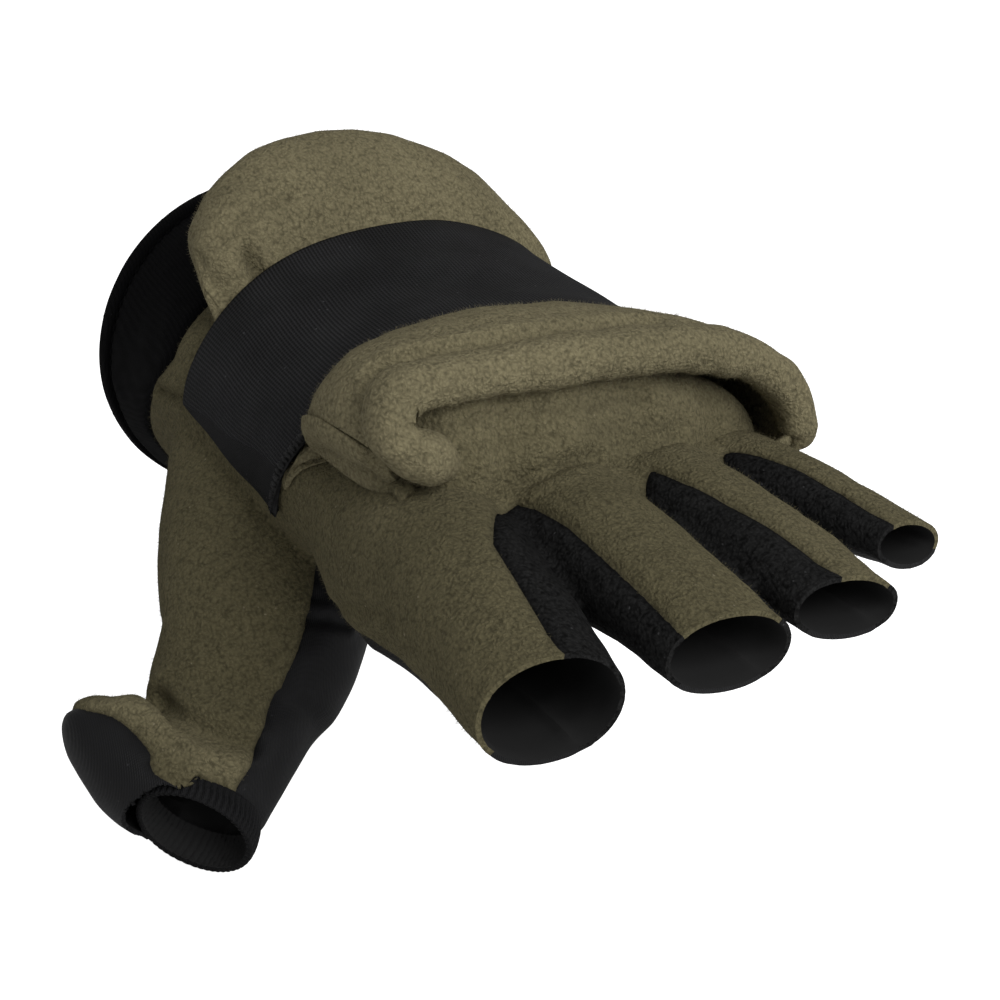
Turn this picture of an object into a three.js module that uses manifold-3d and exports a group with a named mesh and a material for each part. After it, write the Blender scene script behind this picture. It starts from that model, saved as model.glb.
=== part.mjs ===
// A left-hand convertible mitten glove, shown as worn: back of the hand up, fingers along -Y,
// thumb on the -X side and hanging down. Half fingers are open, the mitten hood is folded back
// over the hand under a stretch strap, and the thumb cap is folded back off the thumb tip.
// Millimetres, +Z up. The origin is the centre of the cuff mouth, where the wrist goes in.

import * as THREE from 'three';
import Module from 'manifold-3d';

const wasm = await Module();
wasm.setup();

// Driving sizes
const WALL = 1.8; // fleece and knit panels
const GAP = 0.3; // clearance between sewn pieces
const CUFF_LENGTH = 48;
const CUFF_HEM = { length: 6, proud: 0.5 };
const STRIP_TIP_LENGTH = 16; // the rounded end of a side strip between two knuckles
const HOOD_LIP = { half_across: 5, half_up: 4.6 }; // the rolled hem
const STRAP_WALL = 1.8;
const STRAP_EDGE = { width: 3, proud: 0.5 };

// Colours and surface of the cloths
const CLOTHS = {
  olive_fleece: { color: 0x5b5541, roughness: 0.95, metalness: 0 },
  black_fleece: { color: 0x1c1c1e, roughness: 0.9, metalness: 0 },
  black_grip: { color: 0x262627, roughness: 0.55, metalness: 0 },
  black_knit: { color: 0x1e1e20, roughness: 0.8, metalness: 0 },
};

function table(columns, rows) {
  return rows.map((row) => Object.fromEntries(columns.map((name, i) => [name, row[i]])));
}

// Sections across the hand. half_width is along X, rise and drop are the heights above and
// below the section's centre, lean lifts the +X side, power squares the section.
const SECTION_COLUMNS = ['y', 'x', 'z', 'half_width', 'rise', 'drop', 'lean', 'power'];
const HAND = table(SECTION_COLUMNS, [
  [0, 0, 0, 40.5, 38, 37, 0, 2.0],
  [-25, 0, 0, 42, 37, 34, 0, 2.0],
  [-48, 0.5, 0, 45, 32, 30, 0, 2.1],
  [-66, 1, 0, 46, 26, 27, 0, 2.2],
  [-88, 1, 0, 46.5, 20.5, 26, 0, 2.3],
  [-112, 1, 0, 48, 17.5, 25, 0.02, 2.4],
  [-135, 1, 0, 51, 14.5, 23, 0.05, 2.4],
  [-150, 1, 0, 51.5, 13, 18, 0.07, 2.4],
  [-162, 1, 1.5, 46, 8, 9, 0.08, 2.4],
]);

// Centre lines and sections of the half fingers, knuckle to mouth. roll turns a section
// about its own line, in degrees.
const FINGER_COLUMNS = ['x', 'y', 'z', 'half_width', 'half_height', 'roll'];
const FINGERS = {
  index: table(FINGER_COLUMNS, [
    [-33, -116, -3, 13, 15, 0],
    [-36, -140, -6, 16, 18.4, 0],
    [-38.5, -162, -6.8, 15.2, 16.6, 4],
    [-42, -184, -9, 14.4, 13.2, 9],
    [-45, -202, -11.7, 13.5, 10.5, 12],
  ]),
  middle: table(FINGER_COLUMNS, [
    [-11, -120, -2, 12, 12, 0],
    [-11.6, -145, 0.5, 14.5, 14, 0],
    [-12.3, -166, 1.5, 14.4, 12.4, 0],
    [-13.2, -190, 0.2, 14, 9.6, 0],
    [-13.4, -208, -2.6, 13.5, 8, 0],
  ]),
  ring: table(FINGER_COLUMNS, [
    [13, -120, 0, 12, 12, -4],
    [14, -145, 3, 14, 13, -4],
    [14.2, -165, 4.5, 13.5, 11, -4],
    [14.4, -187, 4.4, 12.9, 8, -4],
    [14.2, -206, 2.2, 12.3, 6.3, -4],
  ]),
  pinky: table(FINGER_COLUMNS, [
    [34, -118, 2, 11, 10, -6],
    [36, -138, 4.5, 12.6, 11, -8],
    [37.5, -155, 7, 12, 9.4, -10],
    [40, -173, 7.8, 10.6, 6.6, -12],
    [42.3, -191, 6.8, 9.4, 4.9, -10],
  ]),
};

// Black strips between two fingers: the place of the round tip, and how far each edge lies
// from its finger's centre line at the finger's back and at its palm side
const FINGER_GAPS = table(
  ['left', 'right', 'tip_x', 'tip_y', 'left_back', 'left_palm', 'right_back', 'right_palm'],
  [
    ['index', 'middle', -25, -159, 0, 8, 11.6, 9],
    ['middle', 'ring', 1.5, -160, 10, 9, 4.8, 9],
    ['ring', 'pinky', 25.5, -153, 9.5, 8.5, 1.8, 6],
  ],
);
const STRIP_STEPS = [0, 1.5, 4, 8, 14, 24, 36, 60]; // from the tip of a strip towards the mouths
const STRIP_REACH = 12; // past both faces of the fingers

// Height of the seam between back and palm panels, at places across the hand
const SEAM_PLACES = { index: -54, beside_index: -30, middle: -13, ring: 14, pinky: 46 };
const SIDE_SEAM = table(
  ['y', 'index', 'beside_index', 'middle', 'ring', 'pinky'],
  [
    [10, -12, -10, -8, -6, -4],
    [-60, -13, -11, -8, -5, -4],
    [-110, -17, -12, -8, -4, -3],
    [-135, -21, -12, -5, -1, 0],
    [-165, -18, -5, 0, 4, 4],
    [-225, -20, -6, -2, 3, 6],
  ],
);

// The thumb sleeve from inside the hand to the mouth at the thumb tip, and the cap folded
// back from there. half_side is across the side seams, half_grip from back to grip side, and
// seam is how far the side seams lie past the centre line, in half_grip.
const THUMB_COLUMNS = ['x', 'y', 'z', 'half_side', 'half_grip', 'seam'];
const THUMB = table(THUMB_COLUMNS, [
  [-22, -62, -6, 17, 18, 0.43],
  [-34, -82, -28, 20, 23, 0.41],
  [-39.8, -93.1, -41.1, 17.5, 22.6, 0.41],
  [-47.3, -99.1, -51.2, 15.5, 18.4, 0.43],
  [-52.3, -104.5, -58.7, 14.5, 15, 0.43],
  [-57.3, -108.9, -65.2, 13.5, 12.9, 0.45],
  [-61.1, -112.2, -69.4, 13, 12.4, 0.45],
  [-63.9, -114.6, -71.4, 12.5, 12.6, 0.45],
]);
const THUMB_CAP = table(THUMB_COLUMNS, [
  [-56.5, -111, -61.6, 11, 6.5, 0.9],
  [-61.9, -108.4, -64.6, 12.4, 9.8, 0.25],
  [-66.6, -103.0, -65.2, 13, 11.6, -0.05],
  [-71.7, -94.8, -60.8, 12.2, 10.4, -0.2],
  [-75.7, -88.2, -58.5, 9.8, 7.3, -0.1],
  [-78.0, -84.2, -57.4, 5, 3.4, 0],
]);
const THUMB_SIDE = new THREE.Vector3(-0.35, -0.65, 0.6); // towards the near side seam
const THUMB_ROOT = 2.4; // place of the root seam, in rows of the thumb

// The hood folded back on the hand, mouth to tip. z is the height of its side seam.
const HOOD = table(SECTION_COLUMNS, [
  [-149, -3.5, 18, 51, 20, 12, 0, 2.4],
  [-138, -2.5, 18, 53, 23, 12, 0, 2.4],
  [-128, -1, 17, 52.5, 22.5, 13, 0, 2.3],
  [-118, 1, 15, 51, 21, 13, 0.03, 2.2],
  [-100, 2, 12, 49, 23, 14, 0.06, 2.2],
  [-80, 2, 13, 49, 27, 14, 0.08, 2.2],
  [-68, 2.5, 18, 48, 24, 15, 0.08, 2.2],
  [-60, 3.5, 24, 46, 20.5, 16, 0.02, 2.1],
  [-52, 3, 29, 45, 25.5, 16, -0.04, 2.0],
  [-44, 2.5, 32.5, 43, 26.5, 14, -0.05, 1.95],
  [-37, 3, 34.5, 37, 22, 12, -0.05, 1.95],
  [-31.5, 3, 36, 25, 12, 8, -0.04, 2.0],
  [-29, 3, 37, 11, 4, 3, 0, 2.0],
]);
// Slack of the hood's lower layer, bulging up and forward in front of the knuckles
const HOOD_FLOOR = table(SECTION_COLUMNS, [
  [-159, 0, 10, 44, 4, 10, 0.03, 2.4],
  [-156, 0, 10, 47, 10, 10, 0.03, 2.4],
  [-152, -1, 10, 48, 15.5, 10, 0.03, 2.5],
  [-145, -1, 10, 49, 18.5, 10, 0.03, 2.5],
  [-132, -1, 10, 49, 16.5, 10, 0.03, 2.5],
  [-118, 0, 8, 47, 11, 10, 0.03, 2.4],
  [-106, 0, 4, 42, 8, 10, 0.03, 2.4],
]);
// Path of the rolled hem round the hood's mouth, from the index side over to the little one
const HOOD_LIP_PATH = table(
  ['x', 'y', 'z'],
  [
    [-43, -154.5, 15],
    [-49, -152, 19.5],
    [-50.5, -150, 25.5],
    [-46, -149, 30],
    [-36, -149, 32],
    [-15, -149.5, 34.5],
    [8, -150, 36],
    [25, -150, 35],
    [37, -149.5, 31.5],
    [44, -149.5, 25],
    [46, -150, 17],
    [44.5, -151.5, 12],
  ],
);

// The stretch strap round the hand and the hood, wrist side to finger side
const STRAP = table(SECTION_COLUMNS, [
  [-56, 2.2, 2, 50.7, 41, 34, 0.1, 2.2],
  [-76, 2.2, 2, 50.7, 37, 34, 0.1, 2.2],
  [-96, 2.2, 2, 50.7, 34, 34, 0.1, 2.2],
  [-112, 2.2, 2, 51.2, 33, 34, 0.1, 2.2],
  [-126, 2.2, 2, 51.7, 33, 34, 0.1, 2.2],
]);
// The strap seen from the side: its wrist and sewn edge, then its overlocked finger edge
const STRAP_SEWN_EDGE = table(['y', 'z'], [[-61, 70], [-61, 2], [-80, -3], [-104, -9]]);
const STRAP_FINGER_EDGE = table(['y', 'z'], [[-104, -9], [-109, 0], [-115, 12], [-119, 30], [-120, 70]]);

// How finely the cloth is faceted: sides round a section, sections along a piece
const FACETS = {
  hand: { sides: 18, sections: 9 },
  finger: { sides: 12, sections: 5 },
  thumb: { sides: 12, sections: 8 },
  cap: { sides: 12, sections: 6 },
  hood: { sides: 18, sections: 13 },
  floor: { sides: 16, sections: 5 },
  strap: { sides: 18, sections: 3 },
  lip: { sides: 8, sections: 15 },
};
const BEYOND = 120; // reach of a cutting body past the glove
const THUMB_REACH = 30; // and past the thumb, which bends

// Catmull-Rom through the rows of a table, at a place counted in rows
function rowAt(rows, place) {
  const last = rows.length - 1;
  const i = Math.min(Math.floor(place), last - 1);
  const t = place - i;
  const row = {};
  for (const key of Object.keys(rows[i])) {
    const b = rows[i][key];
    const c = rows[i + 1][key];
    const a = i === 0 ? 2 * b - c : rows[i - 1][key];
    const d = i === last - 1 ? 2 * c - b : rows[i + 2][key];
    row[key] = 0.5 * (2 * b + (c - a) * t + (2 * a - 5 * b + 4 * c - d) * t * t
      + (3 * b - 3 * c + d - a) * t * t * t);
  }
  return row;
}

function resample(rows, count, [from, to] = [0, rows.length - 1]) {
  return Array.from({ length: count }, (_, k) => rowAt(rows, from + (k * (to - from)) / (count - 1)));
}

// A point of a superellipse of unit size, at one of its sides
function unitPoint(k, sides, power) {
  const angle = (2 * Math.PI * k) / sides;
  const [c, s] = [Math.cos(angle), Math.sin(angle)];
  return [Math.sign(c) * Math.abs(c) ** (2 / power), Math.sign(s) * Math.abs(s) ** (2 / power)];
}

function solidOf(points, triangles) {
  let volume = 0;
  for (let i = 0; i < triangles.length; i += 3) {
    const [a, b, c] = [0, 1, 2].map((k) => points[triangles[i + k]]);
    volume += a.dot(new THREE.Vector3().crossVectors(b, c));
  }
  const outward = volume > 0 ? triangles : [...triangles].reverse();
  return new wasm.Manifold(new wasm.Mesh({
    numProp: 3,
    vertProperties: new Float32Array(points.flatMap((p) => [p.x, p.y, p.z])),
    triVerts: new Uint32Array(outward),
  }));
}

// A closed solid through rings of points, with a fan over each end
function loft(rings) {
  const sides = rings[0].length;
  const points = rings.flat();
  const triangles = [];
  for (let i = 0; i + 1 < rings.length; i += 1) {
    for (let k = 0; k < sides; k += 1) {
      const a = i * sides + k;
      const b = i * sides + ((k + 1) % sides);
      triangles.push(a, b, b + sides, a, b + sides, a + sides);
    }
  }
  for (const start of [0, (rings.length - 1) * sides]) {
    const centre = new THREE.Vector3();
    for (let k = 0; k < sides; k += 1) {
      centre.addScaledVector(points[start + k], 1 / sides);
      const [a, b] = [start + k, start + ((k + 1) % sides)];
      triangles.push(rings.length * sides + (start === 0 ? 0 : 1), start === 0 ? b : a, start === 0 ? a : b);
    }
    points.push(centre);
  }
  return solidOf(points, triangles);
}

// A solid whose sections stand across the hand, grown outwards, its ends moved along Y
function crossBody(rows, facets, grow = 0, ends = [0, 0]) {
  const sections = resample(rows, facets.sections);
  sections[0].y += ends[0];
  sections[facets.sections - 1].y += ends[1];
  return loft(sections.map((s) => Array.from({ length: facets.sides }, (_, k) => {
    const [u, v] = unitPoint(k, facets.sides, s.power);
    const x = u * (s.half_width + grow);
    const z = v * ((v > 0 ? s.rise : s.drop) + grow) + s.lean * x;
    return new THREE.Vector3(s.x + x, s.y, s.z + z);
  })));
}

// Directions along, across and up at each section of a bent tube, its ends lengthened
function frames(sections, acrossHint, ends) {
  const last = sections.length - 1;
  const centre = (i) => new THREE.Vector3(sections[i].x, sections[i].y, sections[i].z);
  const axes = sections.map((_, i) => {
    const before = centre(Math.max(i - 1, 0));
    const along = centre(Math.min(i + 1, last)).sub(before).normalize();
    const up = new THREE.Vector3().crossVectors(along, acrossHint).normalize();
    const across = new THREE.Vector3().crossVectors(up, along).normalize();
    return { centre: centre(i), along, across, up };
  });
  axes[0].centre.addScaledVector(axes[0].along, -ends[0]);
  axes[last].centre.addScaledVector(axes[last].along, ends[1]);
  return axes;
}

// A tube along its rows; size gives the half sizes of a section across and up
function tube(rows, facets, acrossHint, size, ends, span) {
  const sections = resample(rows, facets.sections, span);
  const axes = frames(sections, acrossHint, ends);
  return loft(sections.map((s, i) => {
    const [half_across, half_up] = size(s);
    const { centre, along, across, up } = axes[i];
    const turn = THREE.MathUtils.degToRad(s.roll ?? 0);
    return Array.from({ length: facets.sides }, (_, k) => {
      const [u, v] = unitPoint(k, facets.sides, 2.1);
      return new THREE.Vector3().addScaledVector(across, u * half_across)
        .addScaledVector(up, v * half_up).applyAxisAngle(along, turn).add(centre);
    });
  }));
}

// Space on the grip side of the side seams of a thumb line, moved back over them by a shift
function gripSide(rows, facets, shift, ends, span) {
  const sections = resample(rows, facets.sections, span);
  return loft(frames(sections, THUMB_SIDE, ends).map(({ centre, across, up }, i) => {
    const face = -sections[i].seam * sections[i].half_grip + shift;
    return [[-1, face], [1, face], [1, -THUMB_REACH], [-1, -THUMB_REACH]].map(([side, level]) => (
      centre.clone().addScaledVector(across, side * THUMB_REACH).addScaledVector(up, level)
    ));
  }));
}

// Space between two planes across the hand
function slab(fromY, toY) {
  return loft([fromY, toY].map((y) => [[-1, -1], [1, -1], [1, 1], [-1, 1]].map(([u, v]) => (
    new THREE.Vector3(u * BEYOND, y, v * BEYOND)
  ))));
}

// An outline seen from the side of the hand, pushed right across it
function sidePrism(outline) {
  return loft([-BEYOND, BEYOND].map((x) => outline.map(({ y, z }) => new THREE.Vector3(x, y, z))));
}

// A piece without the threads that a cut along an edge can leave
function largestBody(solid) {
  return solid.decompose().reduce((most, body) => (body.volume() > most.volume() ? body : most));
}

// The glove's skin moved outwards by grow; reach lengthens it past its mouths
const FINGER_ACROSS = new THREE.Vector3(1, 0, 0);
function fingerBody(name, grow, ends) {
  const size = (s) => [s.half_width + grow, s.half_height + grow];
  return tube(FINGERS[name], FACETS.finger, FINGER_ACROSS, size, ends);
}
const thumbSize = (grow) => (s) => [s.half_side + grow, s.half_grip + grow];
const thumbBody = (grow, ends, span) => (
  tube(THUMB, FACETS.thumb, THUMB_SIDE, thumbSize(grow), ends, span)
);
const capBody = (grow) => tube(THUMB_CAP, FACETS.cap, THUMB_SIDE, thumbSize(grow), [0, grow]);

function gloveBody(grow, reach) {
  const hand = crossBody(HAND, FACETS.hand, grow, [reach, -grow]);
  const fingers = Object.keys(FINGERS).map((name) => fingerBody(name, grow, [0, reach]));
  return [...fingers, thumbBody(grow, [0, reach]), capBody(grow)]
    .reduce((body, more) => body.add(more), hand);
}

const group = new THREE.Group();
function addPiece(name, solid, cloth) {
  const { vertProperties, triVerts } = largestBody(solid).getMesh();
  const geometry = new THREE.BufferGeometry();
  geometry.setAttribute('position', new THREE.BufferAttribute(new Float32Array(vertProperties), 3));
  geometry.setIndex(new THREE.BufferAttribute(new Uint32Array(triVerts), 1));
  geometry.computeVertexNormals();
  const mesh = new THREE.Mesh(geometry, new THREE.MeshStandardMaterial(CLOTHS[cloth]));
  mesh.name = name;
  group.add(mesh);
}

// Cuff: a stretch sleeve with its own turned hem at the wrist
function cuffBand(fromY, toY, proud) {
  return crossBody(HAND, FACETS.hand, proud).intersect(slab(fromY, toY))
    .subtract(crossBody(HAND, FACETS.hand, -WALL - proud, [2, 0]));
}
addPiece('cuff_hem', cuffBand(0, -CUFF_HEM.length, CUFF_HEM.proud), 'black_knit');
addPiece('cuff', cuffBand(-CUFF_HEM.length - GAP, -CUFF_LENGTH, 0), 'black_knit');

// The sewn shell in front of the cuff, with the thumb sleeve set apart at its root seam
const shell = gloveBody(0, 0).subtract(gloveBody(-WALL, 2));
const sleeveRows = [THUMB_ROOT, THUMB.length - 1];
const sleeveZone = (grow) => thumbBody(4 + grow, [grow, 10], sleeveRows).add(capBody(4 + grow));
const handShell = shell.subtract(slab(-CUFF_LENGTH - GAP, BEYOND)).subtract(sleeveZone(GAP));
const thumbShell = shell.intersect(sleeveZone(0));

// Black strips in the gaps between the fingers
function fingerAt(name, y) {
  const line = resample(FINGERS[name], 17);
  const i = line.findIndex((row, k) => k > 0 && (row.y < y || k === line.length - 1));
  const [from, to] = [line[i - 1], line[i]];
  const share = Math.min((y - from.y) / (to.y - from.y), 1);
  return Object.fromEntries(Object.keys(from).map((key) => [key, from[key] + (to[key] - from[key]) * share]));
}

function stripZone(gap, grow) {
  return loft(STRIP_STEPS.map((step) => {
    const y = gap.tip_y + grow - step;
    const width = Math.sqrt(Math.min((step + 0.4) / STRIP_TIP_LENGTH, 1));
    const wall = (name, back, palm) => {
      const { x, z, half_height } = fingerAt(name, y);
      const slope = (back - palm) / (2 * half_height);
      return [[palm - slope * STRIP_REACH, -1], [back + slope * STRIP_REACH, 1]].map(([offset, side]) => (
        new THREE.Vector3(
          gap.tip_x + (x + offset - gap.tip_x) * width,
          y,
          z + side * (half_height + STRIP_REACH),
        )
      ));
    };
    const left = wall(gap.left, gap.left_back - grow, gap.left_palm - grow);
    const right = wall(gap.right, grow - gap.right_back, grow - gap.right_palm);
    return [...left, ...right.reverse()];
  }));
}

let panels = handShell;
for (const gap of FINGER_GAPS) {
  const strip = handShell.intersect(stripZone(gap, 0));
  addPiece(`fourchette_${gap.left}_${gap.right}`, strip, 'black_fleece');
  panels = panels.subtract(stripZone(gap, GAP));
}

// Back and palm panels: the side seam runs along the hand and down both sides of the thumb
function aboveSideSeam(lift) {
  const across = Object.entries(SEAM_PLACES).map(([finger, x]) => ({ finger, x }));
  across.unshift({ finger: 'index', x: -BEYOND });
  across.push({ finger: 'pinky', x: BEYOND });
  return loft(SIDE_SEAM.map((row) => {
    const seam = across.map(({ finger, x }) => new THREE.Vector3(x, row.y, row[finger] + lift));
    const top = across.toReversed().map(({ x }) => new THREE.Vector3(x, row.y, BEYOND));
    return [...seam, ...top];
  }));
}
const baseRows = [0, THUMB_ROOT + 0.2];
const thumbBaseZone = (grow) => thumbBody(4 + grow, [20, 2], baseRows)
  .subtract(gripSide(THUMB, FACETS.thumb, -grow, [30, 6], baseRows));
const backZone = (grow) => aboveSideSeam(-grow).add(thumbBaseZone(grow));
addPiece('back_panel', panels.intersect(backZone(0)), 'olive_fleece');
addPiece('palm_panel', panels.subtract(backZone(GAP)), 'black_grip');

// Thumb: elastic round the mouth, grip side, front of the folded cap, and the olive back
// that runs on over the fold
const mouthRows = [THUMB.length - 2.3, THUMB.length - 1];
const elasticZone = (grow) => thumbBody(0.2 + grow, [grow, 12], mouthRows);
const sleeveGripZone = (grow) => gripSide(THUMB, FACETS.thumb, grow, [10, 20]);
const capFrontZone = (grow) => (
  gripSide(THUMB_CAP, FACETS.cap, grow, [0, 20])
    .intersect(capBody(0.1 + grow)).subtract(thumbBody(0.4 - grow, [0, 12]))
);
const sleeve = thumbShell.subtract(elasticZone(GAP));
const sleeveRest = sleeve.subtract(sleeveGripZone(GAP));
addPiece('thumb_elastic', thumbShell.intersect(elasticZone(0)), 'black_knit');
addPiece('thumb_grip', sleeve.intersect(sleeveGripZone(0)), 'black_grip');
addPiece('thumb_cap', sleeveRest.intersect(capFrontZone(0)), 'black_grip');
addPiece('thumb_back', sleeveRest.subtract(capFrontZone(GAP)), 'olive_fleece');

// Strap: a filled body that presses the hood down, and the cloth of it
const strapFilled = (grow) => crossBody(STRAP, FACETS.strap, grow);
const strapSpan = [STRAP_SEWN_EDGE[0].y, STRAP_FINGER_EDGE[STRAP_FINGER_EDGE.length - 1].y];
const strapZone = sidePrism([...STRAP_SEWN_EDGE, ...STRAP_FINGER_EDGE.slice(1)]);
const strapEdgeZone = (width) => sidePrism([
  ...STRAP_FINGER_EDGE.map(({ y, z }) => ({ y: y - 2, z })),
  ...STRAP_FINGER_EDGE.toReversed().map(({ y, z }) => ({ y: y + width, z })),
]);
const besideGlove = gloveBody(GAP, 4);
const strapCloth = (proud) => strapFilled(proud).subtract(strapFilled(-STRAP_WALL).add(besideGlove))
  .intersect(strapZone);
addPiece('strap', strapCloth(0).subtract(strapEdgeZone(STRAP_EDGE.width + GAP)), 'black_knit');
addPiece('strap_edge', strapCloth(STRAP_EDGE.proud).intersect(strapEdgeZone(STRAP_EDGE.width)), 'black_knit');

// Hood: a pocket of two layers that opens towards the fingers, pinched by the strap
function hoodBody(grow, reach) {
  const pressed = slab(strapSpan[0] + GAP - grow, strapSpan[1] - GAP + grow)
    .subtract(strapFilled(grow - STRAP_WALL - GAP));
  return crossBody(HOOD, FACETS.hood, grow, [-reach, 0]).subtract(pressed);
}
const floorBody = (grow) => crossBody(HOOD_FLOOR, FACETS.floor, grow, [-grow, grow]);
const aboveHoodSeam = (lift) => loft(HOOD.map(({ y, z }) => [
  [-BEYOND, z + lift], [BEYOND, z + lift], [BEYOND, BEYOND + z], [-BEYOND, BEYOND + z],
].map(([x, level]) => new THREE.Vector3(x, y, level))));
const LIP_ACROSS = new THREE.Vector3(0, 1, 0);
const lipBody = (grow) => tube(HOOD_LIP_PATH, FACETS.lip, LIP_ACROSS,
  () => [HOOD_LIP.half_across + grow, HOOD_LIP.half_up + grow], [grow, grow]);

const besideLip = besideGlove.add(lipBody(GAP));
const pocket = hoodBody(-WALL, 16);
const layers = hoodBody(0, 0).subtract(besideLip);
const handRoom = crossBody(HAND, FACETS.hand, GAP + WALL);
const slack = floorBody(0).intersect(hoodBody(-WALL - GAP, 16)).subtract(besideLip);
addPiece('hood_top', layers.intersect(aboveHoodSeam(GAP)).subtract(pocket), 'olive_fleece');
addPiece('hood_bottom', layers.subtract(aboveHoodSeam(0))
  .subtract(pocket.subtract(floorBody(0)).subtract(handRoom))
  .add(slack).subtract(floorBody(-WALL)), 'olive_fleece');
addPiece('hood_lip', lipBody(0).subtract(besideGlove), 'olive_fleece');

export default group;
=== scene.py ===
# %% [markdown]
# # A convertible mitten glove
# The real thing is a left fleece glove with half fingers. Its mitten hood is folded back over the
# hand and held by a stretch strap, and its thumb cap is folded back off the thumb tip. The CAD
# frame fixes every size; this script dresses it in cloth. All tables are in millimetres and are
# turned into metres when a mesh is made.

# %% The frame from CAD
import math

import bpy
import numpy as np
from mathutils import Matrix, Vector
from mathutils.bvhtree import BVHTree
from mathutils.kdtree import KDTree


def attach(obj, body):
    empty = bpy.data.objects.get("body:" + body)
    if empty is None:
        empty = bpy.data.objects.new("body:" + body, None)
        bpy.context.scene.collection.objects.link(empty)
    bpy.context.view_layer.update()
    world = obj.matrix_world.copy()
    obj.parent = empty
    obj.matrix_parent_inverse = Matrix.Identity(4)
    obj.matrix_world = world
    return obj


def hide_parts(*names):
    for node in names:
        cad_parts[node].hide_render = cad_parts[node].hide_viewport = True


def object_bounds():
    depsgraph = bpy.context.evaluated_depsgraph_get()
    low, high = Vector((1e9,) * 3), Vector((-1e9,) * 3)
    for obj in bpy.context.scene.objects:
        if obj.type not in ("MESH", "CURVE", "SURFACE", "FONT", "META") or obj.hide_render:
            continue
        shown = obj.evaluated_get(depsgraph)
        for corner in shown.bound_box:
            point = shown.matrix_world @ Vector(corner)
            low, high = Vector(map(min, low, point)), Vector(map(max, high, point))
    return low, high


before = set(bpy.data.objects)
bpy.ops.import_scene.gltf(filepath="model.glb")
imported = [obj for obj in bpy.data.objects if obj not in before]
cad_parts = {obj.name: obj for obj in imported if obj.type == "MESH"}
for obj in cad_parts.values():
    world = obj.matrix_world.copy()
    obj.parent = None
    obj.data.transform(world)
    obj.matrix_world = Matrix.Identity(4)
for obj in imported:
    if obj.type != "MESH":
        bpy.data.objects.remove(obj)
cad_low, cad_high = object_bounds()
MM = 0.001
print("CAD box, mm:", [round(v / MM, 1) for v in (*cad_low, *cad_high)])

# %% [markdown]
# ## Camera
# The photograph was taken from the thumb side and a little above, with a long lens. Yaw, pitch
# and roll of that view were found by laying the CAD outline over the photograph. The same three
# directions serve later to find which point of the cloth a place in the photograph shows.

# %% The photograph's camera
def in_scene(name, data):
    """A new object of the scene."""
    made = bpy.data.objects.new(name, data)
    bpy.context.scene.collection.objects.link(made)
    return made


YAW, PITCH, ROLL = math.radians(-35), math.radians(16.5), math.radians(7)
CAMERA_DISTANCE, FOCAL_PIXELS, PICTURE_PIXELS, SENSOR = 450, 2150, 1000, 36
AIM, AIM_RIGHT, AIM_UP = Vector((0, -110, 0)), 2.4, -6.8
back = Vector((math.sin(YAW) * math.cos(PITCH), -math.cos(YAW) * math.cos(PITCH), math.sin(PITCH)))
level = Vector((math.cos(YAW), math.sin(YAW), 0))
right = math.cos(ROLL) * level + math.sin(ROLL) * back.cross(level)
up = back.cross(right)
eye = (AIM + CAMERA_DISTANCE * back + AIM_RIGHT * right + AIM_UP * up) * MM
camera = in_scene("camera", bpy.data.cameras.new("camera"))
camera.data.sensor_width = SENSOR
camera.data.lens = SENSOR * FOCAL_PIXELS / PICTURE_PIXELS
camera.matrix_world = Matrix.Translation(eye) @ Matrix((right, up, back)).transposed().to_4x4()
bpy.context.scene.camera = camera
print("camera at, mm:", [round(v / MM, 1) for v in eye])

# %% [markdown]
# ## Shape tables
# A glove is drafted from sections: widths and heights across the hand, and a centre line with
# half sizes for each finger. The tables follow the CAD part's, so the cloth lies close to the
# solids. Some were then fitted closer to the photograph than the CAD is: the cuff's rise by
# 2.3 mm, the thumb's root by up to 7 mm, and the side seam near the thumb by up to 20 mm.

# %% Sections of the hand, the fingers and the thumb
# y, x, z, half_width, rise, drop, lean, power
HAND = np.array([
    [0, 0, 0, 40.5, 40.3, 37, 0, 2.0], [-25, 0, 0, 42, 38.5, 34, 0, 2.0],
    [-48, 0.5, 0, 45, 32, 30, 0, 2.1], [-66, 1, 0, 46, 26, 27, 0, 2.2],
    [-88, 1, 0, 46.5, 20.5, 26, 0, 2.3], [-112, 1, 0, 48, 17.5, 25, 0.02, 2.4],
    [-135, 1, 0, 51, 14.5, 23, 0.05, 2.4], [-150, 1, 0, 51.5, 13, 18, 0.07, 2.4],
    [-162, 1, 1.5, 46, 8, 9, 0.08, 2.4],
])
# x, y, z, half across, half up, roll in degrees
FINGERS = {
    "index": np.array([
        [-33, -116, -3, 13, 15, 0], [-36, -140, -6, 16, 18.4, 0], [-38.5, -162, -6.8, 15.2, 16.6, 4],
        [-42, -184, -9, 14.4, 13.2, 9], [-45, -202, -11.7, 13.5, 10.5, 12],
    ]),
    "middle": np.array([
        [-11, -120, -2, 12, 12, 0], [-11.6, -145, 0.5, 14.5, 14, 0],
        [-12.3, -166, 1.5, 14.4, 12.4, 0], [-13.2, -190, 0.2, 14, 9.6, 0],
        [-13.4, -208, -2.6, 13.5, 8, 0],
    ]),
    "ring": np.array([
        [13, -120, 0, 12, 12, -4], [14, -145, 3, 14, 13, -4], [14.2, -165, 4.5, 13.5, 11, -4],
        [14.4, -187, 4.4, 12.9, 8, -4], [14.2, -206, 2.2, 12.3, 6.3, -4],
    ]),
    "pinky": np.array([
        [34, -118, 2, 11, 10, -6], [36, -138, 4.5, 12.6, 11, -8], [37.5, -155, 7, 12, 9.4, -10],
        [40, -173, 7.8, 10.6, 6.6, -12], [42.3, -191, 6.8, 9.4, 4.9, -10],
    ]),
}
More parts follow.
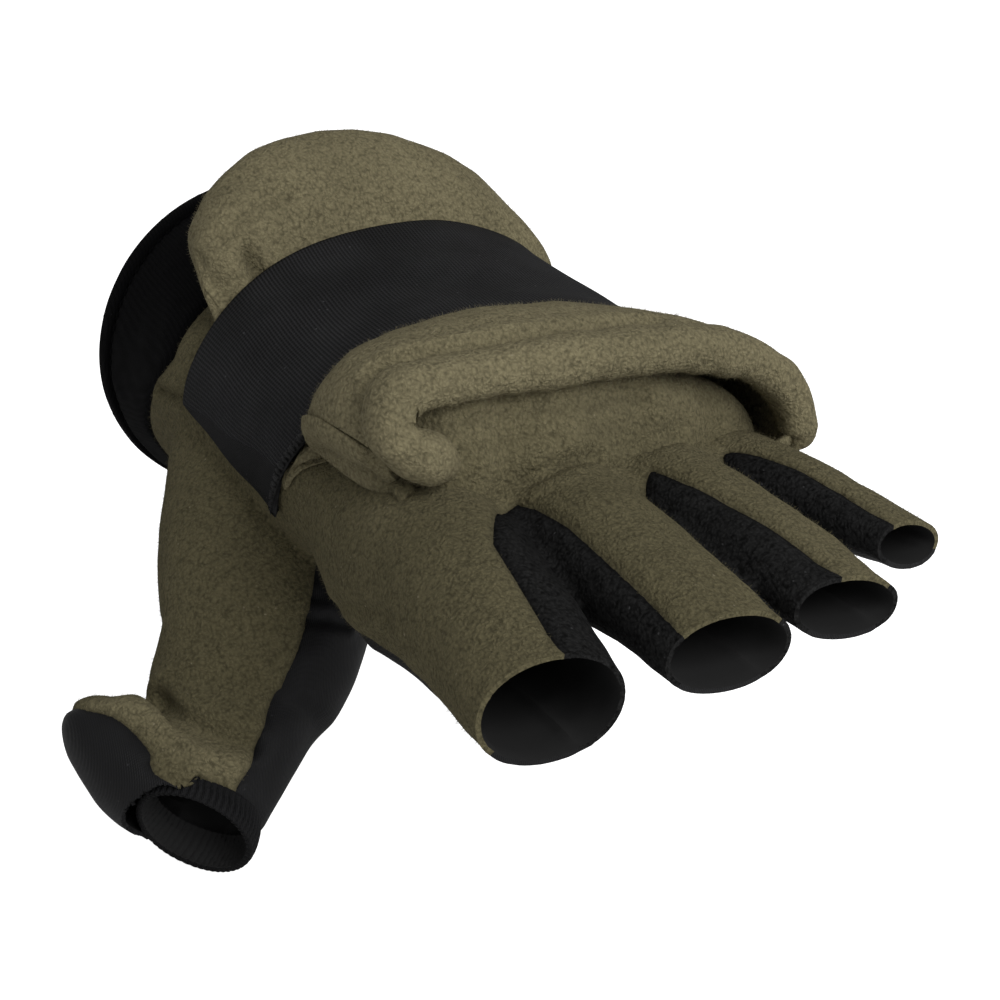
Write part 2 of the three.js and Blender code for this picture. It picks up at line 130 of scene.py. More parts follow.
# x, y, z, half side, half grip, place of the side seams
THUMB = np.array([
    [-22, -62, -10, 17, 25, 0.43], [-33.6, -81.3, -28.6, 20, 24, 0.41],
    [-40.5, -93.1, -40.8, 17.5, 21.4, 0.41], [-47.4, -98.1, -51.8, 15.5, 19, 0.43],
    [-52.3, -104.5, -58.7, 14.5, 15, 0.43], [-57.3, -108.9, -65.2, 13.5, 12.9, 0.45],
    [-61.1, -112.2, -69.4, 13, 12.4, 0.45], [-63.9, -114.6, -71.4, 12.5, 12.6, 0.45],
])
THUMB_CAP = np.array([
    [-56.5, -111, -61.6, 11, 6.5, 0.9], [-61.9, -108.4, -64.6, 12.4, 9.8, 0.25],
    [-66.6, -103.0, -65.2, 13, 11.6, -0.05], [-71.7, -94.8, -60.8, 12.2, 10.4, -0.2],
    [-75.7, -88.2, -58.5, 9.8, 7.3, -0.1], [-78.0, -84.2, -57.4, 5, 3.4, 0],
])
FINGER_ACROSS = np.array([1.0, 0, 0])
THUMB_SIDE = np.array([-0.35, -0.65, 0.6])
print("rows:", len(HAND), {name: len(rows) for name, rows in FINGERS.items()}, len(THUMB))

# %% [markdown]
# ## From rows to a smooth curve
# Cloth runs smoothly between the drafted sections, so the rows are joined by a Catmull-Rom
# curve, which goes through every row. Straight lines would leave a kink at each of them. A
# section is a superellipse: power 2 is round like a finger, and 2.4 is squarer, like a palm.

# %% Rows and sections
def rows_at(rows, places):
    """The table's row at each place, counted in rows, on a smooth curve through all rows."""
    places = np.asarray(places, float)
    i = np.clip(np.floor(places).astype(int), 0, len(rows) - 2)
    t = (places - i)[:, None]
    b, c = rows[i], rows[i + 1]
    a = np.where((i == 0)[:, None], 2 * b - c, rows[np.maximum(i - 1, 0)])
    d = np.where((i == len(rows) - 2)[:, None], 2 * c - b, rows[np.minimum(i + 2, len(rows) - 1)])
    square, cube = 2 * a - 5 * b + 4 * c - d, 3 * b - 3 * c + d - a
    return 0.5 * (2 * b + (c - a) * t + square * t**2 + cube * t**3)


def unit_ring(angles, power):
    c, s = np.cos(angles), np.sin(angles)
    return np.sign(c) * np.abs(c) ** (2 / power), np.sign(s) * np.abs(s) ** (2 / power)


def circle(sides):
    return np.arange(sides) * 2 * math.pi / sides


print("row 2.4 of the thumb, mm:", rows_at(THUMB, [2.4])[0].round(1))

# %% [markdown]
# ## Rings
# One helper makes rings that stand across the hand, another makes rings that stand square to a
# bent centre line, as on a finger. A hint keeps the second kind from twisting along the line.

# %% Rings across the hand and round a bent line
def across_rings(rows, count, angles, grow=0.0, wrist_end=0.0):
    """Rings that stand across the hand, as an array of count x sides x 3."""
    s = rows_at(rows, np.linspace(0, len(rows) - 1, count))
    s[0, 0] += wrist_end
    y, x0, z0, half, rise, drop, lean, power = (s[:, k, None] for k in range(8))
    u, v = unit_ring(angles[None, :], power)
    x = u * (half + grow)
    z = v * (np.where(v > 0, rise, drop) + grow) + lean * x
    return np.stack([x0 + x, y + 0 * x, z0 + z], -1)


def tube_frames(centres, hint):
    """Directions along, across and up at each point of a centre line."""
    along = np.gradient(centres, axis=0)
    along /= np.linalg.norm(along, axis=1)[:, None]
    up_way = np.cross(along, hint)
    up_way /= np.linalg.norm(up_way, axis=1)[:, None]
    return along, np.cross(up_way, along), up_way


def tube_rings(rows, count, angles, hint, grow=0.0, far_end=0.0, first=0, rolled=False):
    """Rings round a bent centre line from row first on, its far end lengthened."""
    s = rows_at(rows, np.linspace(first, len(rows) - 1, count))
    centres = s[:, :3].copy()
    along, across, up_way = tube_frames(centres, hint)
    centres[-1] += far_end * along[-1]
    if rolled:
        c, d = np.cos(np.radians(s[:, 5:6])), np.sin(np.radians(s[:, 5:6]))
        across, up_way = across * c + up_way * d, up_way * c - across * d
    u, v = unit_ring(angles, 2.1)
    return (centres[:, None] + across[:, None] * (u * (s[:, 3:4] + grow))[..., None]
            + up_way[:, None] * (v * (s[:, 4:5] + grow))[..., None])


print("a ring of the hand:", across_rings(HAND, 2, circle(96)).shape)

# %% [markdown]
# ## Meshes from points
# Most pieces are grids of points, and Blender wants a list of faces for them. These helpers turn
# points into an object at the origin, and an object with modifiers back into a plain mesh.

# %% Meshes from points and back
def mesh_from(name, points, faces):
    """A mesh object at the origin, from points in millimetres."""
    mesh = bpy.data.meshes.new(name)
    mesh.from_pydata((np.asarray(points) * MM).tolist(), [], [list(map(int, f)) for f in faces])
    mesh.validate()
    return in_scene(name, mesh)


def grid_faces(count, sides, closed):
    """Quads between rings; a closed ring also joins its last point to its first."""
    k = np.arange(sides if closed else sides - 1)
    following = (k + 1) % sides
    i = np.arange(count - 1)[:, None] * sides
    return np.stack([i + k, i + following, i + sides + following, i + sides + k], -1).reshape(-1, 4)


def split_in_two(quads):
    return np.concatenate([quads[:, [0, 1, 2]], quads[:, [0, 2, 3]]])


def points_of(mesh):
    """A mesh's points in millimetres."""
    found = np.zeros(len(mesh.vertices) * 3)
    mesh.vertices.foreach_get("co", found)
    return found.reshape(-1, 3) / MM


def result_of(thing):
    """The plain mesh that an object's modifiers make. The object and its modifiers go."""
    bpy.context.view_layer.update()
    seen = thing.evaluated_get(bpy.context.evaluated_depsgraph_get())
    mesh = bpy.data.meshes.new_from_object(seen)
    bpy.data.objects.remove(thing)
    return mesh


print("quads in a tube of 3 rings with 8 sides:", len(grid_faces(3, 8, True)))

# %% [markdown]
# ## The glove's skin
# Hand, fingers, thumb and folded cap are first made as separate closed lofts that overlap. A
# voxel remesh melts them into one skin and a few rounds of smoothing soften the corners between
# the fingers, as stretched fleece does. All mouths are made a little too long and trimmed later.

# %% Melt the lofts into one skin
def melted(name, ring_sets, voxel, rounds):
    """One smooth skin round several closed lofts, as points and quads."""
    points, faces = [], []
    for rings in ring_sets:
        count, sides = rings.shape[:2]
        start = sum(len(p) for p in points)
        points.append(rings.reshape(-1, 3))
        faces += (grid_faces(count, sides, True) + start).tolist()
        faces.append(list(range(start + sides - 1, start - 1, -1)))
        faces.append(list(range(start + (count - 1) * sides, start + count * sides)))
    lump = mesh_from(name, np.concatenate(points), faces)
    remesh = lump.modifiers.new("melt", "REMESH")
    remesh.mode, remesh.voxel_size = "VOXEL", voxel * MM
    smooth = lump.modifiers.new("soften", "SMOOTH")
    smooth.factor, smooth.iterations = 0.5, rounds
    mesh = result_of(lump)
    return points_of(mesh), np.array([tuple(p.vertices) for p in mesh.polygons])


MOUTH_REACH = 5
skin_rings = [across_rings(HAND, 60, circle(96), wrist_end=MOUTH_REACH)]
for rows in FINGERS.values():
    skin_rings.append(tube_rings(rows, 40, circle(64), FINGER_ACROSS, far_end=MOUTH_REACH,
                                 rolled=True))
skin_rings.append(tube_rings(THUMB, 50, circle(64), THUMB_SIDE, far_end=MOUTH_REACH))
skin_rings.append(tube_rings(THUMB_CAP, 36, circle(64), THUMB_SIDE))
skin_points, skin_quads = melted("skin", skin_rings, 1.0, 6)
skin_tris = split_in_two(skin_quads)
corners = [skin_points[skin_tris[:, k]] for k in range(3)]
volume = np.einsum("ij,ij->i", corners[0], np.cross(corners[1], corners[2])).sum()
if volume < 0:
    skin_tris = skin_tris[:, ::-1]
print("skin:", len(skin_tris), "triangles, volume ml", round(abs(volume) / 6000))

# %% [markdown]
# ## Where one panel ends and the next begins
# Sewn panels meet on seam lines. Each line is written as a field: a number at every point of the
# skin that is positive on one side of the seam, negative on the other and roughly in
# millimetres. The cuff's seam lies across the wrist, wavers a little with the pull of the knit,
# and dips towards the thumb. The hem is a plain ring.

# %% Fields of the cuff's seam and hem
CUFF_SEAM, CUFF_DIP, HEM_LENGTH = 45, 18, 6


def cuff_field(p):
    ripple = (0.9 * np.sin(p[:, 0] / 5.5) + 0.6 * np.sin(p[:, 2] / 4 + 1)
              + 0.4 * np.sin(p[:, 0] / 2.3))
    towards_thumb = np.clip((8 - p[:, 2]) / 22, 0, 1) * np.clip(-p[:, 0] / 30, 0, 1)
    return p[:, 1] + CUFF_SEAM - CUFF_DIP * towards_thumb + ripple


def hem_field(p):
    return p[:, 1] + HEM_LENGTH


print("skin points in the cuff:", int((cuff_field(skin_points) > 0).sum()))

# %% [markdown]
# ## Black strips between the fingers
# Each strip runs from the palm over the side walls of two fingers to a round tip on the back of
# the hand. It is a wedge: its walls follow the two fingers' middle lines at set distances, and
# close in a half circle at the tip. The distances were read off the photograph.

# %% Fields of the strips
# left finger, right finger, tip_x, tip_y, then how far the strip's walls lie from the fingers'
# middles: left back, left palm, right back near the tip, right back at the mouth, right palm
FINGER_GAPS = [
    ("index", "middle", -25, -157, 0, 8, 11.8, 12.2, 9),
    ("middle", "ring", 5.2, -157.5, 10, 9, 7.7, 3.1, 9),
    ("ring", "pinky", 28.3, -151.2, 9.5, 8.5, 4.6, 6.3, 6),
]
STRIP_ROUNDING = 16


def strip_field(p, gap):
    left, other, tip_x, tip_y, left_back, left_palm, right_tip, right_mouth, right_palm = gap
    right_back = np.interp(p[:, 1], [-206, -160], [right_mouth, right_tip])
    before_tip = tip_y - p[:, 1] + 0.4
    width = np.sqrt(np.clip(before_tip / STRIP_ROUNDING, 0, 1))
    walls = []
    for name, at_back, at_palm, side in ((left, left_back, left_palm, 1),
                                         (other, right_back, right_palm, -1)):
        line = rows_at(FINGERS[name], np.linspace(0, 4, 60))[::-1]
        x, z, half = (np.interp(p[:, 1], line[:, 1], line[:, k]) for k in (0, 2, 4))
        share = (p[:, 2] - z + half) / (2 * half)
        offset = side * (at_palm + (at_back - at_palm) * np.clip(share, -0.5, 1.5))
        walls.append(tip_x + (x + offset - tip_x) * width)
    inside = np.minimum(p[:, 0] - walls[0], walls[1] - p[:, 0])
    return np.where(before_tip > 0, inside, np.minimum(inside, before_tip))


print("points in the strips:",
      [int((strip_field(skin_points, gap) > 0).sum()) for gap in FINGER_GAPS])

# %% [markdown]
# ## The side seam
# The olive back and the black palm meet low on the index side, where the olive cloth wraps
# round, and about half way up between the fingers. The seam is a height over the palm, given at
# five places across the hand and blended between them.

# %% Field of the side seam
SEAM_PLACES = [-54, -30, -13, 14, 46]
# y, then the seam's height at each of those places across the hand
SIDE_SEAM = np.array([
    [10, -32, -26, -12, -6, -4], [-60, -30, -22, -10, -5, -4], [-110, -20, -13, -8, -4, -3],
    [-135, -24, -12, -5, -1, 0], [-165, -20, -5, 0, 4, 4], [-225, -20, -6, -2, 3, 6],
])[::-1]


def side_field(p):
    heights = [np.interp(p[:, 1], SIDE_SEAM[:, 0], SIDE_SEAM[:, k]) for k in range(1, 6)]
    seam = heights[0]
    for k in range(4):
        share = (p[:, 0] - SEAM_PLACES[k]) / (SEAM_PLACES[k + 1] - SEAM_PLACES[k])
        seam = seam + (heights[k + 1] - heights[k]) * np.clip(share, 0, 1)
    return p[:, 2] - seam


print("side seam at the index knuckle, mm:", side_field(np.array([[-50.0, -150, 0]])).round(1))

# %% [markdown]
# ## Seams of the thumb
# The thumb's sleeve, its two sides, the elastic and the folded cap are measured from the
# thumb's own bent centre line: how far along, how far across and how far out a point lies.

# %% Fields of the thumb's seams
THUMB_ROOT, ELASTIC_ROW = 2.4, 5.7
# millimetres between two rows at the root and at the elastic, and the radius of each tube
ROOT_PITCH, ELASTIC_PITCH, THUMB_RADIUS, TIP_RADIUS, CAP_RADIUS = 13.9, 5, 14, 13, 12


def place_on(rows, hint, points):
    """For each point: place in rows, distance across and up, and the row's own values."""
    places = np.linspace(0, len(rows) - 1, 20 * len(rows))
    s = rows_at(rows, places)
    along, across, up_way = tube_frames(s[:, :3], hint)
    nearest = np.empty(len(points), int)
    for part in np.array_split(np.arange(len(points)), 1 + len(points) // 20000):
        gaps = ((points[part, None] - s[None, :, :3]) ** 2).sum(-1)
        nearest[part] = gaps.argmin(1)
    offset = points - s[nearest, :3]
    a, u, ahead = ((offset * way[nearest]).sum(1) for way in (across, up_way, along))
    step = np.linalg.norm(np.gradient(s[:, :3], places, axis=0), axis=1)
    return places[nearest] + ahead / step[nearest], a, u, s[nearest]


def beyond(a, u, s, grow):
    """How far a point lies outside a section, in shares of its size; below 0 is inside."""
    aside, above = np.abs(a / (s[:, 3] + grow)), np.abs(u / (s[:, 4] + grow))
    return (aside**2.1 + above**2.1) ** (1 / 2.1) - 1


def thumb_fields(p):
    """The fields of the thumb's seams: sleeve, grip, elastic, cap front, base of the thumb."""
    t, a, u, s = place_on(THUMB, THUMB_SIDE, p)
    _, cap_a, cap_u, cap = place_on(THUMB_CAP, THUMB_SIDE, p)
    grip = -s[:, 5] * s[:, 4] - u
    near = -THUMB_RADIUS * beyond(a, u, s, 4)
    near_cap = -CAP_RADIUS * beyond(cap_a, cap_u, cap, 4)
    on_thumb = -TIP_RADIUS * beyond(a, u, s, 0.5)
    sleeve = np.maximum(np.minimum(ROOT_PITCH * (t - THUMB_ROOT), near), near_cap)
    elastic = np.minimum(ELASTIC_PITCH * (t - ELASTIC_ROW), on_thumb)
    cap_front = np.minimum(-cap[:, 5] * cap[:, 4] - cap_u, -on_thumb)
    before_root = ROOT_PITCH * (THUMB_ROOT + 0.2 - t)
    base = np.minimum(np.minimum(-THUMB_RADIUS * beyond(a, u, s, 10), before_root), -grip)
    return sleeve, grip, elastic, cap_front, base


print("points in the sleeve:", int((thumb_fields(skin_points)[0] > 0).sum()))

# %% [markdown]
# ## Mouths
# The lofts reach past the mouths. What lies past the last section of a finger or of the thumb,
# and past the cuff's end, is surplus, and is cut off square to the centre line.

# %% Field of the mouths
def mouth_field(p):
    """Positive on the glove, negative in the surplus past a finger's or the thumb's mouth."""
    keep = np.full(len(p), 1.0)
    closest = np.full(len(p), 1.0)
    for rows, hint in [(r, FINGER_ACROSS) for r in FINGERS.values()] + [(THUMB, THUMB_SIDE)]:
        s = rows_at(rows, np.linspace(0, len(rows) - 1, 40))
        along, across, up_way = (way[-1] for way in tube_frames(s[:, :3], hint))
        offset = p - s[-1, :3]
        aside = ((offset @ across / (s[-1, 3] + 1.5)) ** 2
                 + (offset @ up_way / (s[-1, 4] + 1.5)) ** 2)
        ahead = offset @ along
        here = (aside < closest) & (np.abs(ahead) < 8)
        keep, closest = np.where(here, -ahead, keep), np.where(here, aside, closest)
    return np.minimum(keep, -p[:, 1])


print("surplus points:", int((mouth_field(skin_points) < 0).sum()))

# %% [markdown]
# ## Cutting along a line
# A tailor cuts cloth along a chalk line. Here every triangle that a seam line crosses is split
# on the line, so neighbouring panels share the same smooth edge and no light gets through.
# Choosing whole triangles would be simpler, but would leave a saw-tooth edge.

# %% Split triangles on a field's zero line
def cut(points, tris, values, snap=0.12):
    """Splits the triangles that the zero line of values crosses."""
    values = np.where(np.abs(values) < snap, 0, values)
    pairs = np.sort(tris[:, [0, 1, 1, 2, 2, 0]].reshape(-1, 2), axis=1)
    crossed = values[pairs[:, 0]] * values[pairs[:, 1]] < 0
    edges, back_to = np.unique(pairs[crossed], axis=0, return_inverse=True)
    share = (values[edges[:, 0]] / (values[edges[:, 0]] - values[edges[:, 1]]))[:, None]
    added = points[edges[:, 0]] * (1 - share) + points[edges[:, 1]] * share
    middle = np.full(len(pairs), -1)
    middle[crossed] = len(points) + back_to.reshape(-1)
    middle = middle.reshape(-1, 3)
    splits = (middle >= 0).sum(1)
    made = [tris[splits == 0]]
    for k in range(3):
        i, j, l = k, (k + 1) % 3, (k + 2) % 3
        once = (splits == 1) & (middle[:, i] >= 0)
        t, m = tris[once], middle[once]
        made += [np.stack([t[:, i], m[:, i], t[:, l]], 1), np.stack([m[:, i], t[:, j], t[:, l]], 1)]
        twice = (splits == 2) & (middle[:, j] < 0)
        t, m = tris[twice], middle[twice]
        made += [np.stack([t[:, i], m[:, i], m[:, l]], 1), np.stack([m[:, i], t[:, j], t[:, l]], 1),
                 np.stack([m[:, i], t[:, l], m[:, l]], 1)]
    return np.concatenate([points, added]), np.concatenate(made)


print("cuff seam alone:", len(cut(skin_points, skin_tris, cuff_field(skin_points))[1]), "triangles")

# %% [markdown]
# ## Cutting out the panels
# The skin is cut along every seam in turn. Then each triangle is given to its panel by the signs
# of the fields at its middle, from the large panels to the small ones that lie over them.

# %% Cut the skin along its seams
PANELS = ["trimmed", "cuff_hem", "cuff", "thumb_elastic", "thumb_grip", "thumb_cap", "thumb_back",
          "fourchette_index_middle", "fourchette_middle_ring", "fourchette_ring_pinky",
          "back_panel", "palm_panel"]
HEM, CUFF, ELASTIC, GRIP, CAP, THUMB_BACK, FIRST_STRIP, BACK, PALM = 1, 2, 3, 4, 5, 6, 7, 10, 11


def panel_of(p):
    """The number of each point's panel."""
    sleeve, grip, elastic, cap_front, base = thumb_fields(p)
    panel = np.where((side_field(p) > 0) | (base > 0), BACK, PALM)
    for k, gap in enumerate(FINGER_GAPS):
        panel = np.where(strip_field(p, gap) > 0, FIRST_STRIP + k, panel)
    in_sleeve = np.select([elastic > 0, cap_front > 0, grip > 0], [ELASTIC, CAP, GRIP], THUMB_BACK)
    panel = np.where(sleeve > 0, in_sleeve, panel)
    panel = np.where(cuff_field(p) > 0, CUFF, panel)
    panel = np.where(hem_field(p) > 0, HEM, panel)
    return np.where(mouth_field(p) < 0, 0, panel)


points, tris = skin_points, skin_tris
fields = [mouth_field, hem_field, cuff_field, side_field]
fields += [lambda p, gap=gap: strip_field(p, gap) for gap in FINGER_GAPS]
fields += [lambda p, k=k: thumb_fields(p)[k] for k in range(5)]
for field in fields:
    points, tris = cut(points, tris, field(points))
panel = panel_of(points[tris].mean(1))
tris, panel = tris[panel > 0], panel[panel > 0]
print("panels:", {name: int((panel == k).sum()) for k, name in enumerate(PANELS) if k})

# %% [markdown]
# ## Measuring on the cloth
# Seams, creases and mouths act over a few millimetres, so the script needs each point's distance
# to them. A crease is given by places in the photograph, and a ray from the camera through each
# place finds where it lies on the cloth.

# %% Distances, normals and places in the photograph
def bell(distance, width):
    """1 at no distance, fading out over about the width."""
    return np.exp(-((distance / width) ** 2))


def normals_of(points, tris):
    a, b, c = (points[tris[:, k]] for k in range(3))
    flat = np.cross(b - a, c - a)
    found = np.zeros_like(points)
    for k in range(3):
        np.add.at(found, tris[:, k], flat)
    return found / np.maximum(np.linalg.norm(found, axis=1), 1e-9)[:, None]


def distance_to(marks, points, reach):
    """Distance of each point to the nearest mark, at most reach."""
    tree = KDTree(len(marks))
    for i, mark in enumerate(marks):
        tree.insert(mark, i)
    tree.balance()
    low, high = marks.min(0) - reach, marks.max(0) + reach
    near = np.all((points > low) & (points < high), axis=1)
    found = np.full(len(points), float(reach))
    found[near] = [min(reach, tree.find(p)[2]) for p in points[near]]
    return found


def seen_at(tree, places):
    """The points of a skin that the photograph shows at these pixels, in millimetres."""
    hits = []
    for px, py in places:
        aside, above = px - PICTURE_PIXELS / 2, py - PICTURE_PIXELS / 2
        ray = right * aside / FOCAL_PIXELS - up * above / FOCAL_PIXELS - back
        hit = tree.ray_cast(eye / MM, ray.normalized())[0]
        if hit is not None:
            hits.append(np.array(hit))
    return np.array(hits)


skin_tree = BVHTree.FromPolygons(points.tolist(), tris.tolist())
print("the photograph's middle shows, mm:", seen_at(skin_tree, [(500, 500)]).round(1).tolist())

# %% [markdown]
# ## Creases and unevenness
# Creases are where the cloth folds as a finger or the thumb bends: a groove with a low ridge on
# each side. A faint slow unevenness, a sum of a few long waves with fixed seeds, takes away the
# look of a drawn curve.

# %% Creases and unevenness
def filled_in(line, step=0.7):
    """More points on a line of points."""
    parts = [np.linspace(a, b, max(2, int(np.linalg.norm(b - a) / step)))
             for a, b in zip(line, line[1:])]
    return np.concatenate(parts)


def press_creases(tree, p, creases, ridge, lift):
    """Presses creases into lift; returns how much shade each point lies in."""
    shade = np.zeros(len(p))
    for depth, half_width, places in creases:
        line = seen_at(tree, places)
        if len(line) > 1:
            away = distance_to(filled_in(line), p, 6 * half_width)
            lift -= depth * bell(away, half_width)
            lift += ridge * depth * bell(away - 2 * half_width, half_width)
            darkest = min(depth / 2.5, 1) * 0.6
            shade = np.maximum(shade, darkest * bell(away, 0.5 * half_width))
    return shade


def unevenness(p, size, seed):
    """Slow waves of about the given length, between -1 and 1."""
    dice = np.random.default_rng(seed)
    total = np.zeros(len(p))
    for _ in range(9):
        way = dice.normal(size=3)
        way *= 2 * math.pi / (size * dice.uniform(0.7, 1.6) * np.linalg.norm(way))
        total += np.sin(p @ way + dice.uniform(0, 6.28))
    return total / 4


print("unevenness reaches:", np.abs(unevenness(skin_points, 22, 5)).max().round(2))

# %% [markdown]
# ## Finding the seams
# A seam lies on every edge that two panels share, and a mouth on every edge that only one
# triangle has. A few pairs of panels meet without a groove, because their seam is hidden or lies
# where the cloth only turns round.

# %% Points on seams and mouths
QUIET_SEAMS = [(THUMB_BACK, BACK), (GRIP, PALM), (GRIP, BACK), (THUMB_BACK, PALM)]


def seam_marks(tris, panel, quiet):
    """Points on edges between two panels, except the quiet pairs, and points on open edges."""
    pairs = np.sort(tris[:, [0, 1, 1, 2, 2, 0]].reshape(-1, 2), axis=1)
    owner = np.repeat(panel, 3)
    order = np.lexsort((pairs[:, 1], pairs[:, 0]))
    pairs, owner = pairs[order], owner[order]
    same = np.all(pairs[1:] == pairs[:-1], axis=1)
    both_ways = [a * 100 + b for a, b in quiet + [q[::-1] for q in quiet]]
    silent = np.isin(owner[1:] * 100 + owner[:-1], both_ways)
    between = pairs[1:][same & (owner[1:] != owner[:-1]) & ~silent]
    alone = np.ones(len(pairs), bool)
    alone[1:] &= ~same
    alone[:-1] &= ~same
    return np.unique(between), np.unique(pairs[alone])


on_seam, on_mouth = seam_marks(tris, panel, QUIET_SEAMS)
to_seam = distance_to(points[on_seam], points, 12)
to_mouth = distance_to(points[on_mouth], points, 8)
print("seam points:", len(on_seam), "mouth points:", len(on_mouth))

# %% [markdown]
# ## Seam grooves and creases of the glove
# A seam pulls both panels down into a groove, and the pile swells up beside it. Both effects
# fade towards the mouths, which stay clean rings. The fold where the cap turns back is the
# deepest crease, with a roll of cloth beside it.

# %% Shape the cloth of the glove
# depth and half width in millimetres, then places in the photograph
GLOVE_CREASES = [
    (0.55, 3.0, [(305, 622), (260, 634), (215, 642), (160, 655)]),
    (2.2, 2.2, [(157, 703), (176, 716), (200, 731), (225, 740), (246, 742)]),
    (-1.3, 3.4, [(125, 706), (150, 718), (180, 738), (212, 757), (240, 764)]),
    (0.5, 2.6, [(165, 690), (200, 682), (240, 678)]),
    (1.1, 2.0, [(527, 481), (548, 472), (570, 463), (592, 456)]),
    (0.5, 2.0, [(648, 448), (662, 443), (676, 440)]),
    (0.6, 1.3, [(318, 598), (350, 606), (392, 618)]),
    (0.7, 1.3, [(312, 618), (345, 624), (384, 634)]),
    (1.5, 1.2, [(158, 390), (166, 393), (178, 397), (192, 401)]),
]
SEAM_DEPTH, SEAM_HALF_WIDTH, PILE_SWELL, SWELL_FROM_SEAM = 0.7, 1.1, 0.25, 4
normals = normals_of(points, tris)
seam_pull = bell(to_seam, SEAM_HALF_WIDTH) * np.clip(to_mouth / 6, 0.12, 1)
lift = (-SEAM_DEPTH * seam_pull
        + PILE_SWELL * (1 - bell(to_seam, SWELL_FROM_SEAM)) * np.clip(to_mouth / 6, 0, 1))
press_creases(skin_tree, points, GLOVE_CREASES, 0.4, lift)
slow_waves = 0.22 * unevenness(points, 22, 5) + 0.08 * unevenness(points, 7, 6)
lift += slow_waves * np.clip(to_mouth / 6, 0.2, 1)
points_shaped = points + normals * lift[:, None]
print("lift mm:", lift.min().round(2), lift.max().round(2))

# %% [markdown]
# ## Where the pile is worn and painted shade falls
# Handling flattens the pile and darkens the olive cloth of the hand and the thumb, and the same
# number also holds painted shade and light. The cloth is painted lighter where light catches the
# cap's fold, under the hood's edge and on the outer fingers. One number at each point says how
# worn and how shaded the cloth is, and the material darkens it by that.

# %% How worn and how shaded the cloth is
# x across the hand, and the y where the hood's slack cloth leaves the knuckles
FRONT_LINE = np.array([
    [-50, -149], [-44, -151.5], [-38, -156], [-31, -157], [-25, -154.5], [-18, -157],
    [-10, -158], [0, -156.5], [5.5, -154.8], [11, -156], [20, -154], [28.5, -149.5],
    [36, -150], [42, -149], [50, -146],
])
CAP_FOLD = [(100, 702), (125, 706), (150, 718), (180, 740), (212, 760), (240, 768)]
cap_fold = filled_in(seen_at(skin_tree, CAP_FOLD))
# Painted light at the cap's fold, by the slack cloth and on the outer fingers; the rest stays
# darker, wear and painted shade together.
worn = 1 - 0.75 * bell(distance_to(cap_fold, points, 20), 5)
past_slack = points[:, 1] - np.interp(points[:, 0], FRONT_LINE[:, 0], FRONT_LINE[:, 1]) - 3
worn -= 0.35 * bell(past_slack, 8) * np.clip(points[:, 2] / 6, 0, 1)
worn -= 0.2 * np.clip((points[:, 0] - 5) / 8, 0, 1)
print("worn, least and mean:", worn.min().round(2), worn.mean().round(2))

# %% [markdown]
# ## Small helpers for nodes
# Node trees are long to write out, so one helper adds any node and links or sets its inputs by
# name or by number, and a few short ones stand for the nodes that come back in every cloth.

# %% Helpers for shader nodes
def add(tree, kind, settings=None, **links):
    """A node with settings, its inputs linked to sockets or set to values by name."""
    node = tree.nodes.new(kind)
    for key, value in (settings or {}).items():
        setattr(node, key, value)
    for key, value in links.items():
        numbered = key[0] == "i" and key[1:].isdigit()
        socket = node.inputs[int(key[1:]) if numbered else key.replace("_", " ")]
        if isinstance(value, bpy.types.NodeSocket):
            tree.links.new(value, socket)
        else:
            socket.default_value = value
    return node


def calculate(tree, operation, *values, kind="ShaderNodeMath"):
    inputs = {f"i{k}": value for k, value in enumerate(values)}
    return add(tree, kind, {"operation": operation}, **inputs).outputs[0]


def noise(tree, where, scale, **more):
    return add(tree, "ShaderNodeTexNoise", Vector=where, Scale=scale, **more).outputs["Fac"]


def map_range(tree, value, low, high, to_low=0.0, to_high=1.0):
    return add(tree, "ShaderNodeMapRange", Value=value, i1=low, i2=high, i3=to_low,
               i4=to_high).outputs["Result"]


def object_place(tree):
    return add(tree, "ShaderNodeTexCoord").outputs["Object"]


def point_value(tree, label):
    return add(tree, "ShaderNodeAttribute", {"attribute_name": label}).outputs["Fac"]


def ramp(tree, value, stops):
    node = add(tree, "ShaderNodeValToRGB", i0=value)
    band = node.color_ramp.elements
    while len(band) < len(stops):
        band.new(0.5)
    for element, (place, shade) in zip(band, stops):
        element.position = place
        element.color = (*shade, 1) if isinstance(shade, tuple) else (shade, shade, shade, 1)
    return node.outputs[0]


def blend(tree, mask, first, second, mode="MIX"):
    """Two colours, each a socket or three numbers, mixed by a mask."""
    first, second = ((*c, 1) if isinstance(c, tuple) else c for c in (first, second))
    settings = {"data_type": "RGBA", "blend_type": mode}
    return add(tree, "ShaderNodeMix", settings, i0=mask, i6=first, i7=second).outputs[2]


print("node helpers are ready")

# %% [markdown]
# ## Brushed pile
# Fleece is a knit whose surface is brushed into a pile and sheared, so it gathers into nubs of
# about a millimetre with pits between them. A fine noise and a cell pattern, both warped by a
# coarser noise, make that height. Light flecks of lint sit in a few cells. The group puts out
# the height and masks, and each material colours them in its own way.

# %% Node group of the pile
def shader_group(name, inputs, outputs):
    """A shader node group: its tree, the sockets it is given and the sockets it fills."""
    made = bpy.data.node_groups.new(name, "ShaderNodeTree")
    for label, value in inputs.items():
        kind = "NodeSocketFloat" if isinstance(value, float) else "NodeSocketVector"
        made.interface.new_socket(label, in_out="INPUT", socket_type=kind).default_value = value
    for label in outputs:
        made.interface.new_socket(label, in_out="OUTPUT", socket_type="NodeSocketFloat")
    return made, made.nodes.new("NodeGroupInput").outputs, made.nodes.new("NodeGroupOutput").inputs


def fill(tree, sockets, **results):
    for label, result in results.items():
        tree.links.new(result, sockets[label])


